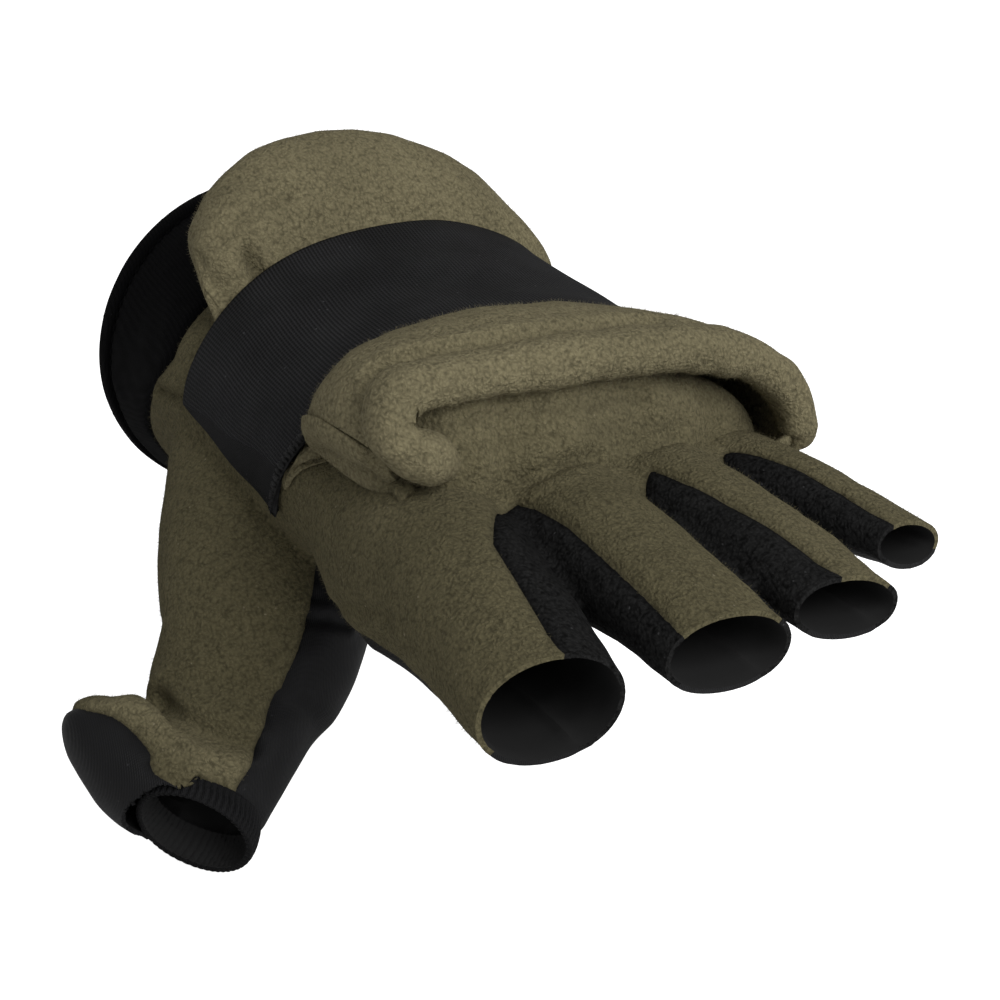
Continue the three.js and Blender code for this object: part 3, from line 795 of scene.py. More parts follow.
def lint_mask(tree, where):
    """Small light flecks: a few cells of a coarse cell pattern, near their middles."""
    spots = add(tree, "ShaderNodeTexVoronoi", Vector=where, Scale=620.0)
    chosen = calculate(tree, "GREATER_THAN", spots.outputs["Color"], 0.8)
    near = map_range(tree, spots.outputs["Distance"], 0.05, 0.17, 0.8, 0.0)
    return calculate(tree, "MULTIPLY", chosen, near)


WARP_REACH = (0.0014, 0.0014, 0.0014)
pile, given, filled = shader_group("pile", {"Nub": 1500.0, "Depth": 1.0},
                                   ["Height", "Tip", "Patch", "Lint"])
where = object_place(pile)
warp = add(pile, "ShaderNodeTexNoise", Vector=where, Scale=500.0, Detail=4.0).outputs["Color"]
warped = calculate(pile, "MULTIPLY_ADD", warp, WARP_REACH, where, kind="ShaderNodeVectorMath")
cells = add(pile, "ShaderNodeTexVoronoi", {"feature": "SMOOTH_F1"}, Vector=warped,
            Scale=given["Nub"], Smoothness=0.6)
nubs = calculate(pile, "ADD", noise(pile, warped, 750.0, Detail=6.0, Roughness=0.72),
                 map_range(pile, cells.outputs["Distance"], 0.1, 0.8, 0.42, 0.0))
fill(pile, filled, Height=calculate(pile, "MULTIPLY", nubs, given["Depth"]),
     Tip=map_range(pile, nubs, 0.4, 0.95), Patch=noise(pile, where, 55.0, Detail=3.0),
     Lint=lint_mask(pile, warped))
print("pile nodes:", len(pile.nodes))

# %% [markdown]
# ## Fine knit
# The strap, the cuff and the grip cloth are stretch knits with ribs one way and rows of loops
# the other way, much finer than the pile. Two wave patterns make them. Their coordinates come in
# from outside, so that the ribs follow the strap where it bends.

# %% Node group of the knit
knit, given, filled = shader_group("knit", {"Ribs": 1000.0, "Map": (0, 0, 0)},
                                   ["Height", "Patch", "Lint"])
turned = add(knit, "ShaderNodeMapping", Vector=given["Map"], Rotation=(0, 0, 0.12)).outputs[0]
ribs = add(knit, "ShaderNodeTexWave", {"bands_direction": "X"}, Vector=turned,
           Scale=given["Ribs"], Distortion=0.6, Detail=1.0, Detail_Scale=2.0)
loop_rows = add(knit, "ShaderNodeTexWave", {"bands_direction": "Y"}, Vector=turned,
                Scale=given["Ribs"], Distortion=0.4, Detail=1.0)
where = object_place(knit)
fill(knit, filled, Height=calculate(knit, "MULTIPLY_ADD", loop_rows.outputs["Fac"], 0.5,
                                    ribs.outputs["Fac"]),
     Patch=noise(knit, where, 70.0, Detail=4.0), Lint=lint_mask(knit, where))
print("knit nodes:", len(knit.nodes))

# %% [markdown]
# ## Fleece as a material
# The pits between the nubs are darker and the tips lighter. Slow patches, wear with painted shade
# and light, lint and painted shade in the seam grooves and creases change the colour on top. Cloth
# scatters light widely, so the surface is rough and hardly shines, with a trace of sheen from the
# fibres that stand up.

# %% Materials of the fleece
PILE_HEIGHT, LOOP_HEIGHT = 0.0009, 0.0003
GROOVE_SHADE = 0.3


def new_material(name, rough, shine, colour=None):
    """An empty material with a Principled shader: the material, its tree and the shader."""
    made = bpy.data.materials.new(name)
    made.use_nodes = True
    tree = made.node_tree
    tree.nodes.clear()
    shader = tree.nodes.new("ShaderNodeBsdfPrincipled")
    tree.links.new(shader.outputs[0], tree.nodes.new("ShaderNodeOutputMaterial").inputs[0])
    shader.inputs["Roughness"].default_value = rough
    shader.inputs["Specular IOR Level"].default_value = shine
    if colour:
        shader.inputs["Base Color"].default_value = (*colour, 1)
    return made, tree, shader


def bumped(tree, shader, height, strength, distance):
    node = add(tree, "ShaderNodeBump", Strength=strength, Distance=distance, Height=height)
    tree.links.new(node.outputs[0], shader.inputs["Normal"])


def fleece(name, middle, depth, contrast, lint_shade, worn_to=0.55, sheen=0.06):
    """Brushed cloth: dark pits, light tips, darker by its wear and painted shade, and painted shade
    in the seam grooves.
    """
    made, tree, shader = new_material(name, 0.95, 0.04)
    cloth = add(tree, "ShaderNodeGroup", {"node_tree": pile}, Depth=depth)
    pit, tip = (tuple(c * k for c in middle) for k in (1 - contrast, 1 + 0.8 * contrast))
    shade = ramp(tree, cloth.outputs["Tip"], [(0.05, pit), (0.5, middle), (0.95, tip)])
    patchy = ramp(tree, cloth.outputs["Patch"], [(0.3, 0.84), (0.7, 1.0)])
    shade = blend(tree, 1.0, shade, patchy, "MULTIPLY")
    # Wear and painted shade darken the olive by each point's number.
    worn_shade = (worn_to, worn_to, 0.94 * worn_to)
    shade = blend(tree, point_value(tree, "worn"), shade, worn_shade, "MULTIPLY")
    shade = blend(tree, cloth.outputs["Lint"], shade, lint_shade)
    # Painted shade in the seam grooves and creases.
    painted_groove_shade = tuple(GROOVE_SHADE * c for c in middle)
    shade = blend(tree, point_value(tree, "groove"), shade, painted_groove_shade)
    tree.links.new(shade, shader.inputs["Base Color"])
    shader.inputs["Sheen Weight"].default_value = sheen
    shader.inputs["Sheen Roughness"].default_value = 0.6
    shader.inputs["Sheen Tint"].default_value = (0.75, 0.68, 0.45, 1)
    bumped(tree, shader, cloth.outputs["Height"], 1.0, PILE_HEIGHT)
    return made


olive = fleece("olive_fleece", (0.168, 0.147, 0.086), 1.0, 0.42, (0.24, 0.21, 0.14))
black_pile = fleece("black_fleece", (0.0125, 0.0125, 0.0132), 0.8, 0.7, (0.06, 0.06, 0.062),
                    worn_to=1.0, sheen=0.0)
print("fleeces:", olive.name, black_pile.name)

# %% [markdown]
# ## Stretch cloths, inside and thread
# The other cloths differ in how dark, how dull and how coarse they are: a smooth grip cloth, a
# very dark cuff, a ribbed strap and the thumb's elastic. The inside of every panel is plain black
# cloth that lies in shade, and the thread is a little glossier than the cloth.

# %% Materials of the stretch cloths and the thread
def stretch(name, low, high, rough, ribs, strength, shine, mapped=False):
    """Fine knit between two shades, with lint. Mapped cloth follows its piece's own map."""
    made, tree, shader = new_material(name, rough, shine)
    source = add(tree, "ShaderNodeUVMap").outputs[0] if mapped else object_place(tree)
    cloth = add(tree, "ShaderNodeGroup", {"node_tree": knit}, Ribs=ribs, Map=source)
    shade = ramp(tree, cloth.outputs["Patch"], [(0.3, low), (0.7, high)])
    lines = ramp(tree, cloth.outputs["Height"], [(0.15, 0.45), (1.0, 1.0)])
    shade = blend(tree, 1.0, shade, lines, "MULTIPLY")
    shade = blend(tree, cloth.outputs["Lint"], shade, tuple(3.2 * c for c in high))
    # Painted shade in the seam grooves and between the elastic's gathers.
    painted_groove_shade = tuple(GROOVE_SHADE * c for c in low)
    shade = blend(tree, point_value(tree, "groove"), shade, painted_groove_shade)
    tree.links.new(shade, shader.inputs["Base Color"])
    dullness = ramp(tree, cloth.outputs["Patch"], [(0.2, rough - 0.08), (0.8, rough + 0.08)])
    tree.links.new(dullness, shader.inputs["Roughness"])
    bumped(tree, shader, cloth.outputs["Height"], strength, LOOP_HEIGHT)
    return made


grip_cloth = stretch("black_grip", (0.0042, 0.0042, 0.0046), (0.0078, 0.0078, 0.0085),
                     0.6, 800.0, 0.25, 0.15)
knit_cloth = stretch("black_knit", (0.0016, 0.0016, 0.0018), (0.003, 0.003, 0.0033),
                     0.85, 480.0, 0.4, 0.03)
ribbed_cloth = stretch("black_ribbed", (0.0145, 0.0145, 0.0152), (0.025, 0.025, 0.026),
                       0.82, 1.0, 1.0, 0.08, mapped=True)
elastic_cloth = stretch("black_elastic", (0.007, 0.007, 0.0075), (0.0125, 0.0125, 0.0132),
                        0.75, 900.0, 0.3, 0.1)
inside_cloth, _, _ = new_material("black_inside", 0.9, 0.02, (0.022, 0.022, 0.022))
thread, thread_tree, thread_shader = new_material("black_thread", 0.7, 0.15)
strands = noise(thread_tree, object_place(thread_tree), 900.0)
thread_tree.links.new(ramp(thread_tree, strands, [(0.3, 0.005), (0.7, 0.018)]),
                      thread_shader.inputs["Base Color"])
print("materials:", [m.name for m in bpy.data.materials])

# %% [markdown]
# ## Finishing a piece
# Every piece gets its materials and smooth shading, takes the place of its CAD solid and rides on
# the glove's one body. Cloth made as a single sheet gets its thickness from a Solidify modifier,
# which also closes the cut edges.

# %% Dress and thicken a piece
def dressed(made, node, materials):
    for material in materials:
        made.data.materials.append(material)
    made.data.polygons.foreach_set("use_smooth", [True] * len(made.data.polygons))
    if node:
        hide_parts(node)
    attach(made, "root")
    return made


def thickened(made, thickness, inside_material):
    solid = made.modifiers.new("cloth", "SOLIDIFY")
    solid.thickness, solid.offset = thickness * MM, -1
    solid.material_offset = inside_material
    solid.use_even_offset = False


def keep_values(made, label, values):
    """Stores a number at each point, for the materials."""
    layer = made.data.attributes.new(label, "FLOAT", "POINT")
    layer.data.foreach_set("value", np.asarray(values).ravel().astype(np.float32))


print("pieces to dress:", len(PANELS) - 1)

# %% [markdown]
# ## The sewn panels
# Each panel becomes its own sheet with a real thickness. The cloth is laid inwards from the
# skin, and its inner face is black, as the photograph shows at the finger mouths; its cut edges
# keep the panel's own cloth.
# Solidify would tilt the edges of neighbours differently, so the walls are made by hand.

# %% Make the panels
def walled(name, points, tris, normals, thickness, values):
    """A panel with an inner face and closed edges, which meets its neighbours inside."""
    used, renamed = np.unique(tris, return_inverse=True)
    outer, below = renamed.reshape(-1, 3), len(used)
    edges = outer[:, [0, 1, 1, 2, 2, 0]].reshape(-1, 2)
    _, first, uses = np.unique(np.sort(edges, axis=1), axis=0, return_index=True,
                               return_counts=True)
    open_edges = edges[first[uses == 1]]
    walls = np.concatenate([open_edges[:, ::-1], open_edges + below], axis=1)
    both_faces = np.concatenate([points[used], points[used] - normals[used] * thickness])
    faces = outer.tolist() + (outer[:, ::-1] + below).tolist() + walls.tolist()
    made = mesh_from(name, both_faces, faces)
    reaches_inside = [int(min(p.vertices) >= below) for p in made.data.polygons]
    made.data.polygons.foreach_set("material_index", reaches_inside)
    for label, of_point in values.items():
        keep_values(made, label, np.tile(of_point[used], 2))
    made.data.set_sharp_from_angle(angle=math.radians(70))
    return made


# slot, cloth, thickness
CLOTH_OF = {
    "cuff_hem": ("black_knit", knit_cloth, 2.2), "cuff": ("black_knit", knit_cloth, 1.0),
    "thumb_grip": ("black_grip", grip_cloth, 1.0), "thumb_cap": ("black_grip", grip_cloth, 1.0),
    "thumb_back": ("olive_fleece", olive, 1.0), "back_panel": ("olive_fleece", olive, 1.0),
    "palm_panel": ("black_grip", grip_cloth, 1.0),
}
for strip in PANELS[FIRST_STRIP:FIRST_STRIP + 3]:
    CLOTH_OF[strip] = ("black_fleece", black_pile, 1.0)
# Painted shade in the seam grooves, weaker near the mouths.
groove = bell(to_seam, 0.6) * 0.7 * np.clip(to_mouth / 3, 0.2, 1)
hem_round = np.sqrt(np.clip(-points[:, 1] / 1.2, 0, 1)) - 0.35
hem_swell = np.where(points[:, 1] > -HEM_LENGTH, hem_round, 0)
points_shaped = points_shaped + normals * hem_swell[:, None]
for name, (slot, cloth, thickness) in CLOTH_OF.items():
    own = tris[panel == PANELS.index(name)]
    made = walled(name, points_shaped, own, normals, thickness, {"groove": groove, "worn": worn})
    dressed(made, name, [cloth, inside_cloth])
    print(name, len(own), "triangles")

# %% [markdown]
# ## Thumb elastic
# Where the cap folds back, the thumb's mouth is drawn in by elastic, and its black knit gathers
# into close ridges. The band is a fine grid of its own, so the ridges can be real folds: they
# lean, wander and flatten out towards the mouth.

# %% Gathered elastic round the thumb's mouth
AROUND, DEEP, GATHERS, GATHER_HEIGHT, DRAWN_IN = 440, 26, 27, 0.8, 1.8
angles = circle(AROUND)
band = tube_rings(THUMB, DEEP, angles, THUMB_SIDE, grow=0.1, first=ELASTIC_ROW - 0.12)
outward = band - band.mean(1, keepdims=True)
outward /= np.linalg.norm(outward, axis=-1, keepdims=True)
depth_share = np.linspace(0, 1, DEEP)[:, None]
wander = 0.5 * np.sin(3 * angles + 1) + 0.3 * np.sin(7 * angles)
ridges = np.abs(np.sin(GATHERS * angles + 1.4 * depth_share + wander))
gathered = GATHER_HEIGHT * ridges * np.sin(math.pi * (0.02 + 0.9 * depth_share))
band = band + outward * (gathered - 0.9 + 0.6 * np.sqrt(depth_share))[..., None]
near_way = band[-1, 0] - band[-1].mean(0)
near_way /= np.linalg.norm(near_way)
drawn_in = DRAWN_IN * depth_share**2 * np.clip(np.cos(angles), 0, 1)
band = band - drawn_in[..., None] * near_way
elastic = mesh_from("thumb_elastic", band.reshape(-1, 3), grid_faces(DEEP, AROUND, True))
# Painted shade between the gathers.
keep_values(elastic, "groove", 0.7 * (1 - ridges) ** 2 + 0 * depth_share)
thickened(elastic, 1.2, 1)
dressed(elastic, "thumb_elastic", [elastic_cloth, inside_cloth])
print("elastic:", AROUND * (DEEP - 1), "quads")

# %% [markdown]
# ## Pushing points off a section
# The strap lies on the glove, and the hood lies under the strap. For both, a point's place is
# compared with a section's outline at the same distance from the wrist, and the point is moved
# straight away from or towards the section's centre until it lies on the outline.

# %% Sections to push points off
def section_at(rows, y):
    """The section's own values at each y, between rows."""
    line = rows_at(rows, np.linspace(0, len(rows) - 1, 200))[::-1]
    return np.stack([np.interp(y, line[:, 0], line[:, k]) for k in range(8)], -1)


def outside_of(rows, p, grow):
    """1 on the section's outline and below 1 inside, with the section, for pushing points."""
    s = section_at(rows, p[:, 1])
    x = p[:, 0] - s[:, 1]
    z = p[:, 2] - s[:, 2] - s[:, 6] * x
    size = np.where(z > 0, s[:, 4], s[:, 5]) + grow
    aside, above = np.abs(x / (s[:, 3] + grow)), np.abs(z / size)
    return (aside ** s[:, 7] + above ** s[:, 7]) ** (1 / s[:, 7]), s


def pushed(p, s, share, to=1.0):
    """Points moved from their share of a section's outline to another share."""
    x = p[:, 0] - s[:, 1]
    z = p[:, 2] - s[:, 2] - s[:, 6] * x
    k = to / np.maximum(share, 1e-6)
    return np.stack([s[:, 1] + x * k, p[:, 1], s[:, 2] + z * k + s[:, 6] * x * k], -1)


def eased(t):
    """From 0 to 1, flat at both ends."""
    t = np.clip(t, 0, 1)
    return t * t * (3 - 2 * t)


def on_points(change, grid, *more):
    """A change of points, made to a grid of points."""
    return change(grid.reshape(-1, 3), *more).reshape(grid.shape)


print("hand at y -90: half width, rise, drop:",
      section_at(HAND, np.array([-90.0]))[0, 3:6].round(1))

# %% [markdown]
# ## The strap
# A wide band of stretch knit goes over the folded hood. It is sewn into both side seams, where
# it narrows to a point. The band hugs the glove near those points and rides over the hood above
# them. The hood is made after it, because the strap decides how far the hood is pressed down.

# %% Strap surface
STRAP = np.array([
    [-56, 2.2, 2, 50.7, 41, 34, 0.1, 2.2], [-76, 2.2, 2, 50.7, 37, 34, 0.1, 2.2],
    [-96, 2.2, 2, 50.7, 34, 34, 0.1, 2.2], [-112, 2.2, 2, 51.2, 33, 34, 0.1, 2.2],
    [-126, 2.2, 2, 51.7, 33, 34, 0.1, 2.2],
])
# z, y of the strap's sewn edge, then of its finger edge, seen from the side
SEWN_EDGE = np.array([[-9, -104], [-3, -80], [2, -61], [70, -61]])
FINGER_EDGE = np.array([[-9, -104], [0, -109], [12, -115], [30, -119], [70, -120]])
STRAP_MIDDLE, STRAP_POINT, STRAP_END_ANGLE, HUGGING_HEIGHT = -90.0, -9.2, 0.42, 20


def strap_edges(z):
    """y of the sewn edge and of the finger edge at a height."""
    return (np.interp(z, side[:, 0], side[:, 1]) for side in (SEWN_EDGE, FINGER_EDGE))


def strap_grid(first, last, length_count, angle_count=260):
    """A grid over the strap between two shares of its width, wrist side 0 and finger side 1."""
    at = section_at(STRAP, np.array([STRAP_MIDDLE]))[0]
    angles = np.linspace(-STRAP_END_ANGLE, math.pi + STRAP_END_ANGLE, angle_count)
    u, v = unit_ring(angles, at[7])
    z = at[2] + v * np.where(v > 0, at[4], at[5]) + at[6] * u * at[3]
    inside = z > STRAP_POINT
    u, v, z = u[inside], v[inside], z[inside]
    sewn, edge = strap_edges(z)
    shares = np.linspace(first, last, length_count)
    y = (sewn[:, None] + (edge - sewn)[:, None] * shares).reshape(-1)
    s = section_at(STRAP, y)
    u, v = (np.repeat(k, length_count) for k in (u, v))
    x = u * s[:, 3]
    z = s[:, 2] + v * np.where(v > 0, s[:, 4], s[:, 5]) + s[:, 6] * x
    p = np.stack([s[:, 1] + x, y, z], -1)
    share, hand = outside_of(HAND, p, 1.5)
    weight = eased((p[:, 2] + 9) / HUGGING_HEIGHT)[:, None]
    return (pushed(p, hand, share) * (1 - weight) + p * weight).reshape(-1, length_count, 3)


EDGE_STARTS = 0.95
strap_points = strap_grid(0, EDGE_STARTS, 60)
wave = unevenness(strap_points.reshape(-1, 3), 26, 3) * 0.5
strap_points[..., 2] += wave.reshape(strap_points.shape[:2])
strap = mesh_from("strap", strap_points.reshape(-1, 3), grid_faces(*strap_points.shape[:2], False))
print("strap:", strap_points.shape)

# %% [markdown]
# ## Ribs that follow the strap
# The strap's ribs run across it and keep their spacing where it bends. A map that measures the
# real lengths along both ways of the grid does that, where a flat projection would stretch the
# ribs at the sides.

# %% Finish the strap
RIB_PITCH = 2.6


def map_by_length(made, grid, pitch):
    """A UV map that measures the grid's two ways in pitches, so ribs keep their spacing."""
    ways = []
    for axis in (0, 1):
        steps = np.linalg.norm(np.diff(grid, axis=axis), axis=-1).mean(1 - axis)
        ways.append(np.concatenate([[0], np.cumsum(steps)]) / pitch)
    u, v = np.repeat(ways[0], grid.shape[1]), np.tile(ways[1], grid.shape[0])
    layer = made.data.uv_layers.new(name="lengths")
    corners = np.zeros(len(made.data.loops), int)
    made.data.loops.foreach_get("vertex_index", corners)
    layer.data.foreach_set("uv", np.stack([u[corners], v[corners]], -1).ravel())
    return ways[0][-1] * pitch


def face_out(made):
    """Turns the faces so that most of them face away from the middle of the hand."""
    score = sum(p.center.x * p.normal.x + p.center.z * p.normal.z for p in made.data.polygons)
    if score < 0:
        made.data.flip_normals()


face_out(strap)
strap_length = map_by_length(strap, strap_points, RIB_PITCH)
thickened(strap, 1.3, 0)
dressed(strap, "strap", [ribbed_cloth])
print("strap length over the hand, mm:", round(strap_length))

# %% [markdown]
# ## The strap's bound edge
# The finger edge of the strap is overlocked, so it is a thin roll. It is the last narrow piece
# of the same surface, bulged outwards. The loops of thread are laid over it later.

# %% Bound edge of the strap
STRAP_CENTRE = np.array([2.2, 0, 2])
edge_points = strap_grid(EDGE_STARTS, 1.0, 8)
bulge = 0.7 * np.sin(np.linspace(0.3, math.pi - 0.1, 8))
away = edge_points - STRAP_CENTRE
away[..., 1] = 0
away /= np.linalg.norm(away, axis=-1, keepdims=True)
edge_points = edge_points + away * bulge[None, :, None]
strap_edge = mesh_from("strap_edge", edge_points.reshape(-1, 3),
                       grid_faces(*edge_points.shape[:2], False))
face_out(strap_edge)
thickened(strap_edge, 1.6, 0)
dressed(strap_edge, "strap_edge", [thread])
print("strap edge:", edge_points.shape)

# %% [markdown]
# ## Laying cloth over cloth
# Where the strap lies on the hood, it holds the fleece down, and the cloth eases out beside it.
# The hood's lower layer rests on the hand. A cloth simulation could do both, but pushing points
# off the known sections is quick and always gives the same result.

# %% Cloth under the strap, cloth on the hand and a creased sheet
EASE_BESIDE_STRAP, GAP_UNDER_STRAP = 5, 1.9


def pressed_by_strap(p):
    """Points held inside the strap where it lies over them, easing out beside it."""
    sewn, edge = strap_edges(p[:, 2])
    past = np.maximum(p[:, 1] - sewn, edge - p[:, 1])
    weight = eased(1 - past / EASE_BESIDE_STRAP)[:, None]
    share, s = outside_of(STRAP, p, -GAP_UNDER_STRAP)
    held = np.where((share > 1)[:, None], pushed(p, s, share), p)
    return p * (1 - weight) + held * weight


def rested_on_hand(p, grow):
    """Points lifted out of the hand and of the fingers."""
    share, s = outside_of(HAND, p, grow)
    return np.where((share < 1)[:, None], pushed(p, s, share), p)


def shaped_sheet(name, grid, creases, seed, swell):
    """A grid made into cloth: creases from the photograph and unevenness along its normals."""
    faces = grid_faces(*grid.shape[:2], False)
    p, t = grid.reshape(-1, 3), split_in_two(faces)
    n = normals_of(p, t)
    if ((p - p.mean(0)) * n).sum() < 0:
        n, faces = -n, faces[:, ::-1]
    tree = BVHTree.FromPolygons(p.tolist(), t.tolist())
    lift = swell * unevenness(p, 24, seed) + 0.3 * swell * unevenness(p, 8, seed + 1)
    shade = press_creases(tree, p, creases, 0.35, lift)
    made = mesh_from(name, p + n * lift[:, None], faces)
    keep_values(made, "groove", shade)
    return made


print("strap edges at z 30, mm:", [float(y) for y in strap_edges(30)])

# %% [markdown]
# ## The folded hood
# The hood is a pocket of two layers of fleece. Pulled back off the fingers it lies on the back
# of the hand: a full dome behind the strap, flat under it, and puffed out again in front, where
# its hem rolls over. The upper layer is the upper half of a loft.

# %% Upper layer of the hood
HOOD = np.array([
    [-149, -3.5, 18, 50, 19.5, 12, -0.01, 2.4], [-138, -2.5, 18, 52.5, 22.3, 12, -0.03, 2.4],
    [-128, -1, 17, 52.5, 22, 13, -0.02, 2.3], [-118, 1, 15, 51, 21, 13, 0.03, 2.2],
    [-100, 2, 12, 49, 23, 14, 0.06, 2.2], [-80, 2, 13, 49, 27, 14, 0.08, 2.2],
    [-68, 2.5, 18, 48, 24, 15, 0.08, 2.2], [-60, 3.5, 24, 46, 20.5, 16, 0.02, 2.1],
    [-52, 3, 29, 45, 25.5, 16, -0.04, 2.0], [-44, 2.5, 32.5, 43, 26.5, 14, -0.05, 1.95],
    [-37, 3, 34.5, 37, 22, 12, -0.05, 1.95], [-31.5, 3, 36, 25, 12, 8, -0.04, 2.0],
    [-29, 3, 37, 11, 4, 3, 0, 2.0], [-28.3, 3, 37, 2, 0.8, 0.6, 0, 2.0],
])
HOOD_CREASES = [
    (2.4, 1.7, [(248, 256), (253, 266), (259, 275)]),
    (1.0, 1.8, [(203, 262), (214, 280), (226, 298)]),
    (1.0, 2.5, [(225, 240), (250, 215), (290, 200)]),
    (1.2, 1.6, [(311, 431), (335, 431), (362, 430)]),
    (2.2, 1.9, [(380, 374), (402, 364), (430, 357), (480, 346), (531, 338), (600, 329),
                (660, 325), (710, 325), (745, 332)]),
]
hood_grid = across_rings(HOOD, 150, np.linspace(0, math.pi, 140), grow=0.2)
hood_grid = on_points(pressed_by_strap, hood_grid)
hood_top = shaped_sheet("hood_top", hood_grid, HOOD_CREASES, 11, 0.5)
thickened(hood_top, 1.6, 0)
dressed(hood_top, "hood_top", [olive])
print("hood top:", hood_grid.shape)

# %% [markdown]
# ## Slack cloth in the hood's mouth
# In front of the knuckles the lower layer is slack, and bulges up and forward into the open
# mouth of the hood. It has to grow out of the knuckles without a gap, so a ray straight down
# from each of its points finds the glove, and a soft maximum of the two heights joins them.

# %% Slack cloth over the knuckles
# distance behind the front line, height, half width
SLACK = np.array([
    [0, -12, 44], [1, -3, 44.5], [2.5, 9, 45], [4.5, 18.5, 46], [8, 26.5, 47], [13, 30.2, 47.5],
    [25, 27.5, 47.5], [39, 19, 46], [51, 12, 42],
], float)
SLACK_LEVEL, STRAIGHT_FROM, SOFTNESS, TUCKED_IN, NO_GLOVE = 10, 25, 1.2, 1.6, -60.0


def slack_grid(count, angles):
    """The slack cloth, on the knuckles in front and rising behind, and its wear and painted shade.
    """
    rows = rows_at(SLACK, np.linspace(0, len(SLACK) - 1, count))
    behind, height, half = (rows[:, k, None] for k in range(3))
    u, v = unit_ring(angles[None, :], 2.5)
    x = -1 + u * half
    z = SLACK_LEVEL + np.where(v > 0, height - SLACK_LEVEL, SLACK_LEVEL) * v - 0.04 * x
    front = np.interp(x, FRONT_LINE[:, 0], FRONT_LINE[:, 1])
    y = behind - 157 + (front + 157) * (1 - eased(behind / STRAIGHT_FROM))
    glove = BVHTree.FromPolygons(points_shaped.tolist(), tris.tolist())
    ground = np.full(x.size, NO_GLOVE)
    for i, (px, py) in enumerate(zip(x.ravel(), y.ravel())):
        hit = glove.ray_cast((px, py, 60), (0, 0, -1))[0]
        ground[i] = hit.z if hit else NO_GLOVE
    ground = ground.reshape(x.shape)
    rise = z - ground
    z = ground + SOFTNESS * np.logaddexp(0, rise / SOFTNESS)
    z = z - TUCKED_IN * (1 - np.clip(rise / 5, 0, 1))
    # Wear and painted shade, darkest in front where the slack meets the knuckles, gone 8 mm behind.
    return np.stack([x, y, z], -1), 0.7 * np.clip(1 - (behind - 3.5) / 8, 0, 1) + 0 * x


SLACK_CREASES = [
    (1.3, 2.6, [(417, 432), (480, 418), (540, 411), (600, 405), (640, 398)]),
    (0.8, 2.4, [(450, 452), (520, 440), (600, 430), (680, 424)]),
    (1.2, 2.0, [(527, 481), (548, 472), (570, 463), (592, 456)]),
    (0.6, 2.0, [(648, 448), (662, 443), (676, 440)]),
]
slack_points, slack_worn = slack_grid(90, np.linspace(-0.25, math.pi + 0.25, 130))
slack = shaped_sheet("hood_bottom", slack_points, SLACK_CREASES, 23, 0.45)
keep_values(slack, "worn", slack_worn)
print("slack cloth:", slack_points.shape)

# %% [markdown]
# ## Lower layer of the hood
# Behind the slack the lower layer lies on the back of the hand and turns up at both sides to the
# side seam. Its front edge keeps back, most in the middle, so that the slack cloth and the roll
# cover it. Below the side seams it ends inside the glove, where it is sewn in.

# %% Lower layer of the hood
UNDER = np.concatenate([
    [[-154, -4.5, 16.5, 44, 19, 11, 0, 2.4], [-152, -3.5, 17.5, 48, 19, 12, 0, 2.4]], HOOD])
UNDER_CREASES = [(0.5, 1.8, [(311, 466), (345, 466), (376, 468)])]
KEPT_BACK, KEPT_BACK_MIDDLE, SEWN_IN_BELOW = 5.5, 4, -2
low_grid = across_rings(UNDER, 110, np.linspace(math.pi, 2 * math.pi, 110), grow=0.2)
in_middle = np.clip((38 - np.abs(low_grid[..., 0] + 4)) / 6, 0, 1)
off_right = np.clip((39 - low_grid[..., 0]) / 5, 0, 1)
in_front = np.clip((-110 - low_grid[..., 1]) / 44, 0, 1)
low_grid[..., 1] += (KEPT_BACK * off_right + KEPT_BACK_MIDDLE * in_middle) * in_front
low_grid = on_points(rested_on_hand, on_points(pressed_by_strap, low_grid), 0.8)
below = np.minimum(low_grid[..., 2] - SEWN_IN_BELOW, 0)
low_grid[..., 2] -= 0.9 * below
low_grid[..., 0] += 0.3 * below * np.sign(low_grid[..., 0])
under = shaped_sheet("hood_under", low_grid, UNDER_CREASES, 21, 0.3)
with bpy.context.temp_override(active_object=slack, selected_editable_objects=[slack, under]):
    bpy.ops.object.join()
hood_bottom = slack
thickened(hood_bottom, 1.5, 0)
dressed(hood_bottom, "hood_bottom", [olive])
print("hood bottom:", len(hood_bottom.data.polygons), "faces")

# %% [markdown]
# ## The rolled hem
# The hood's hem is turned and sewn, so its edge is thick and rolls over by itself. It runs from
# the index side up, across the front and down to the little finger's side. The roll is a bent
# tube that swells and thins a little, and tapers where it meets the slack cloth.

# %% Rolled hem of the hood
LIP_PATH = np.array([
    [-36.5, -149.5, 13.5], [-40.5, -153, 16.2], [-45.2, -154.5, 18.2], [-49.6, -153.5, 20.2],
    [-51.1, -152, 22.5], [-51, -151, 25.6], [-49.6, -150.2, 28.1], [-46.4, -149.8, 29.5],
    [-42.6, -149.5, 30], [-31.5, -149.3, 31.5], [-20.5, -149.5, 32.8], [2.6, -150, 35.2],
    [19.7, -149.8, 35.1], [31, -149.5, 32.9], [39.7, -149.5, 28.6], [44.9, -150, 22.9],
    [46.8, -151, 17.3], [45.9, -152, 13.9],
])
LIP_RINGS, LIP_SIDES, LIP_WIDE, LIP_HIGH = 260, 40, 5.0, 4.7
places = np.linspace(0, len(LIP_PATH) - 1, LIP_RINGS)
lip_line = rows_at(LIP_PATH, places)
_, lip_across, lip_up = tube_frames(lip_line, np.array([0.0, 1, 0]))
from_ends = np.minimum(places / 1.6, (len(LIP_PATH) - 1 - places) / 1.2)
size = np.clip(from_ends, 0.05, 1) ** 0.5 * (1 - 0.2 * np.clip((places - 13) / 3, 0, 1))
size = (size * (1 + 0.04 * np.sin(places * 1.3) + 0.03 * np.sin(places * 3.1 + 1)))[:, None]
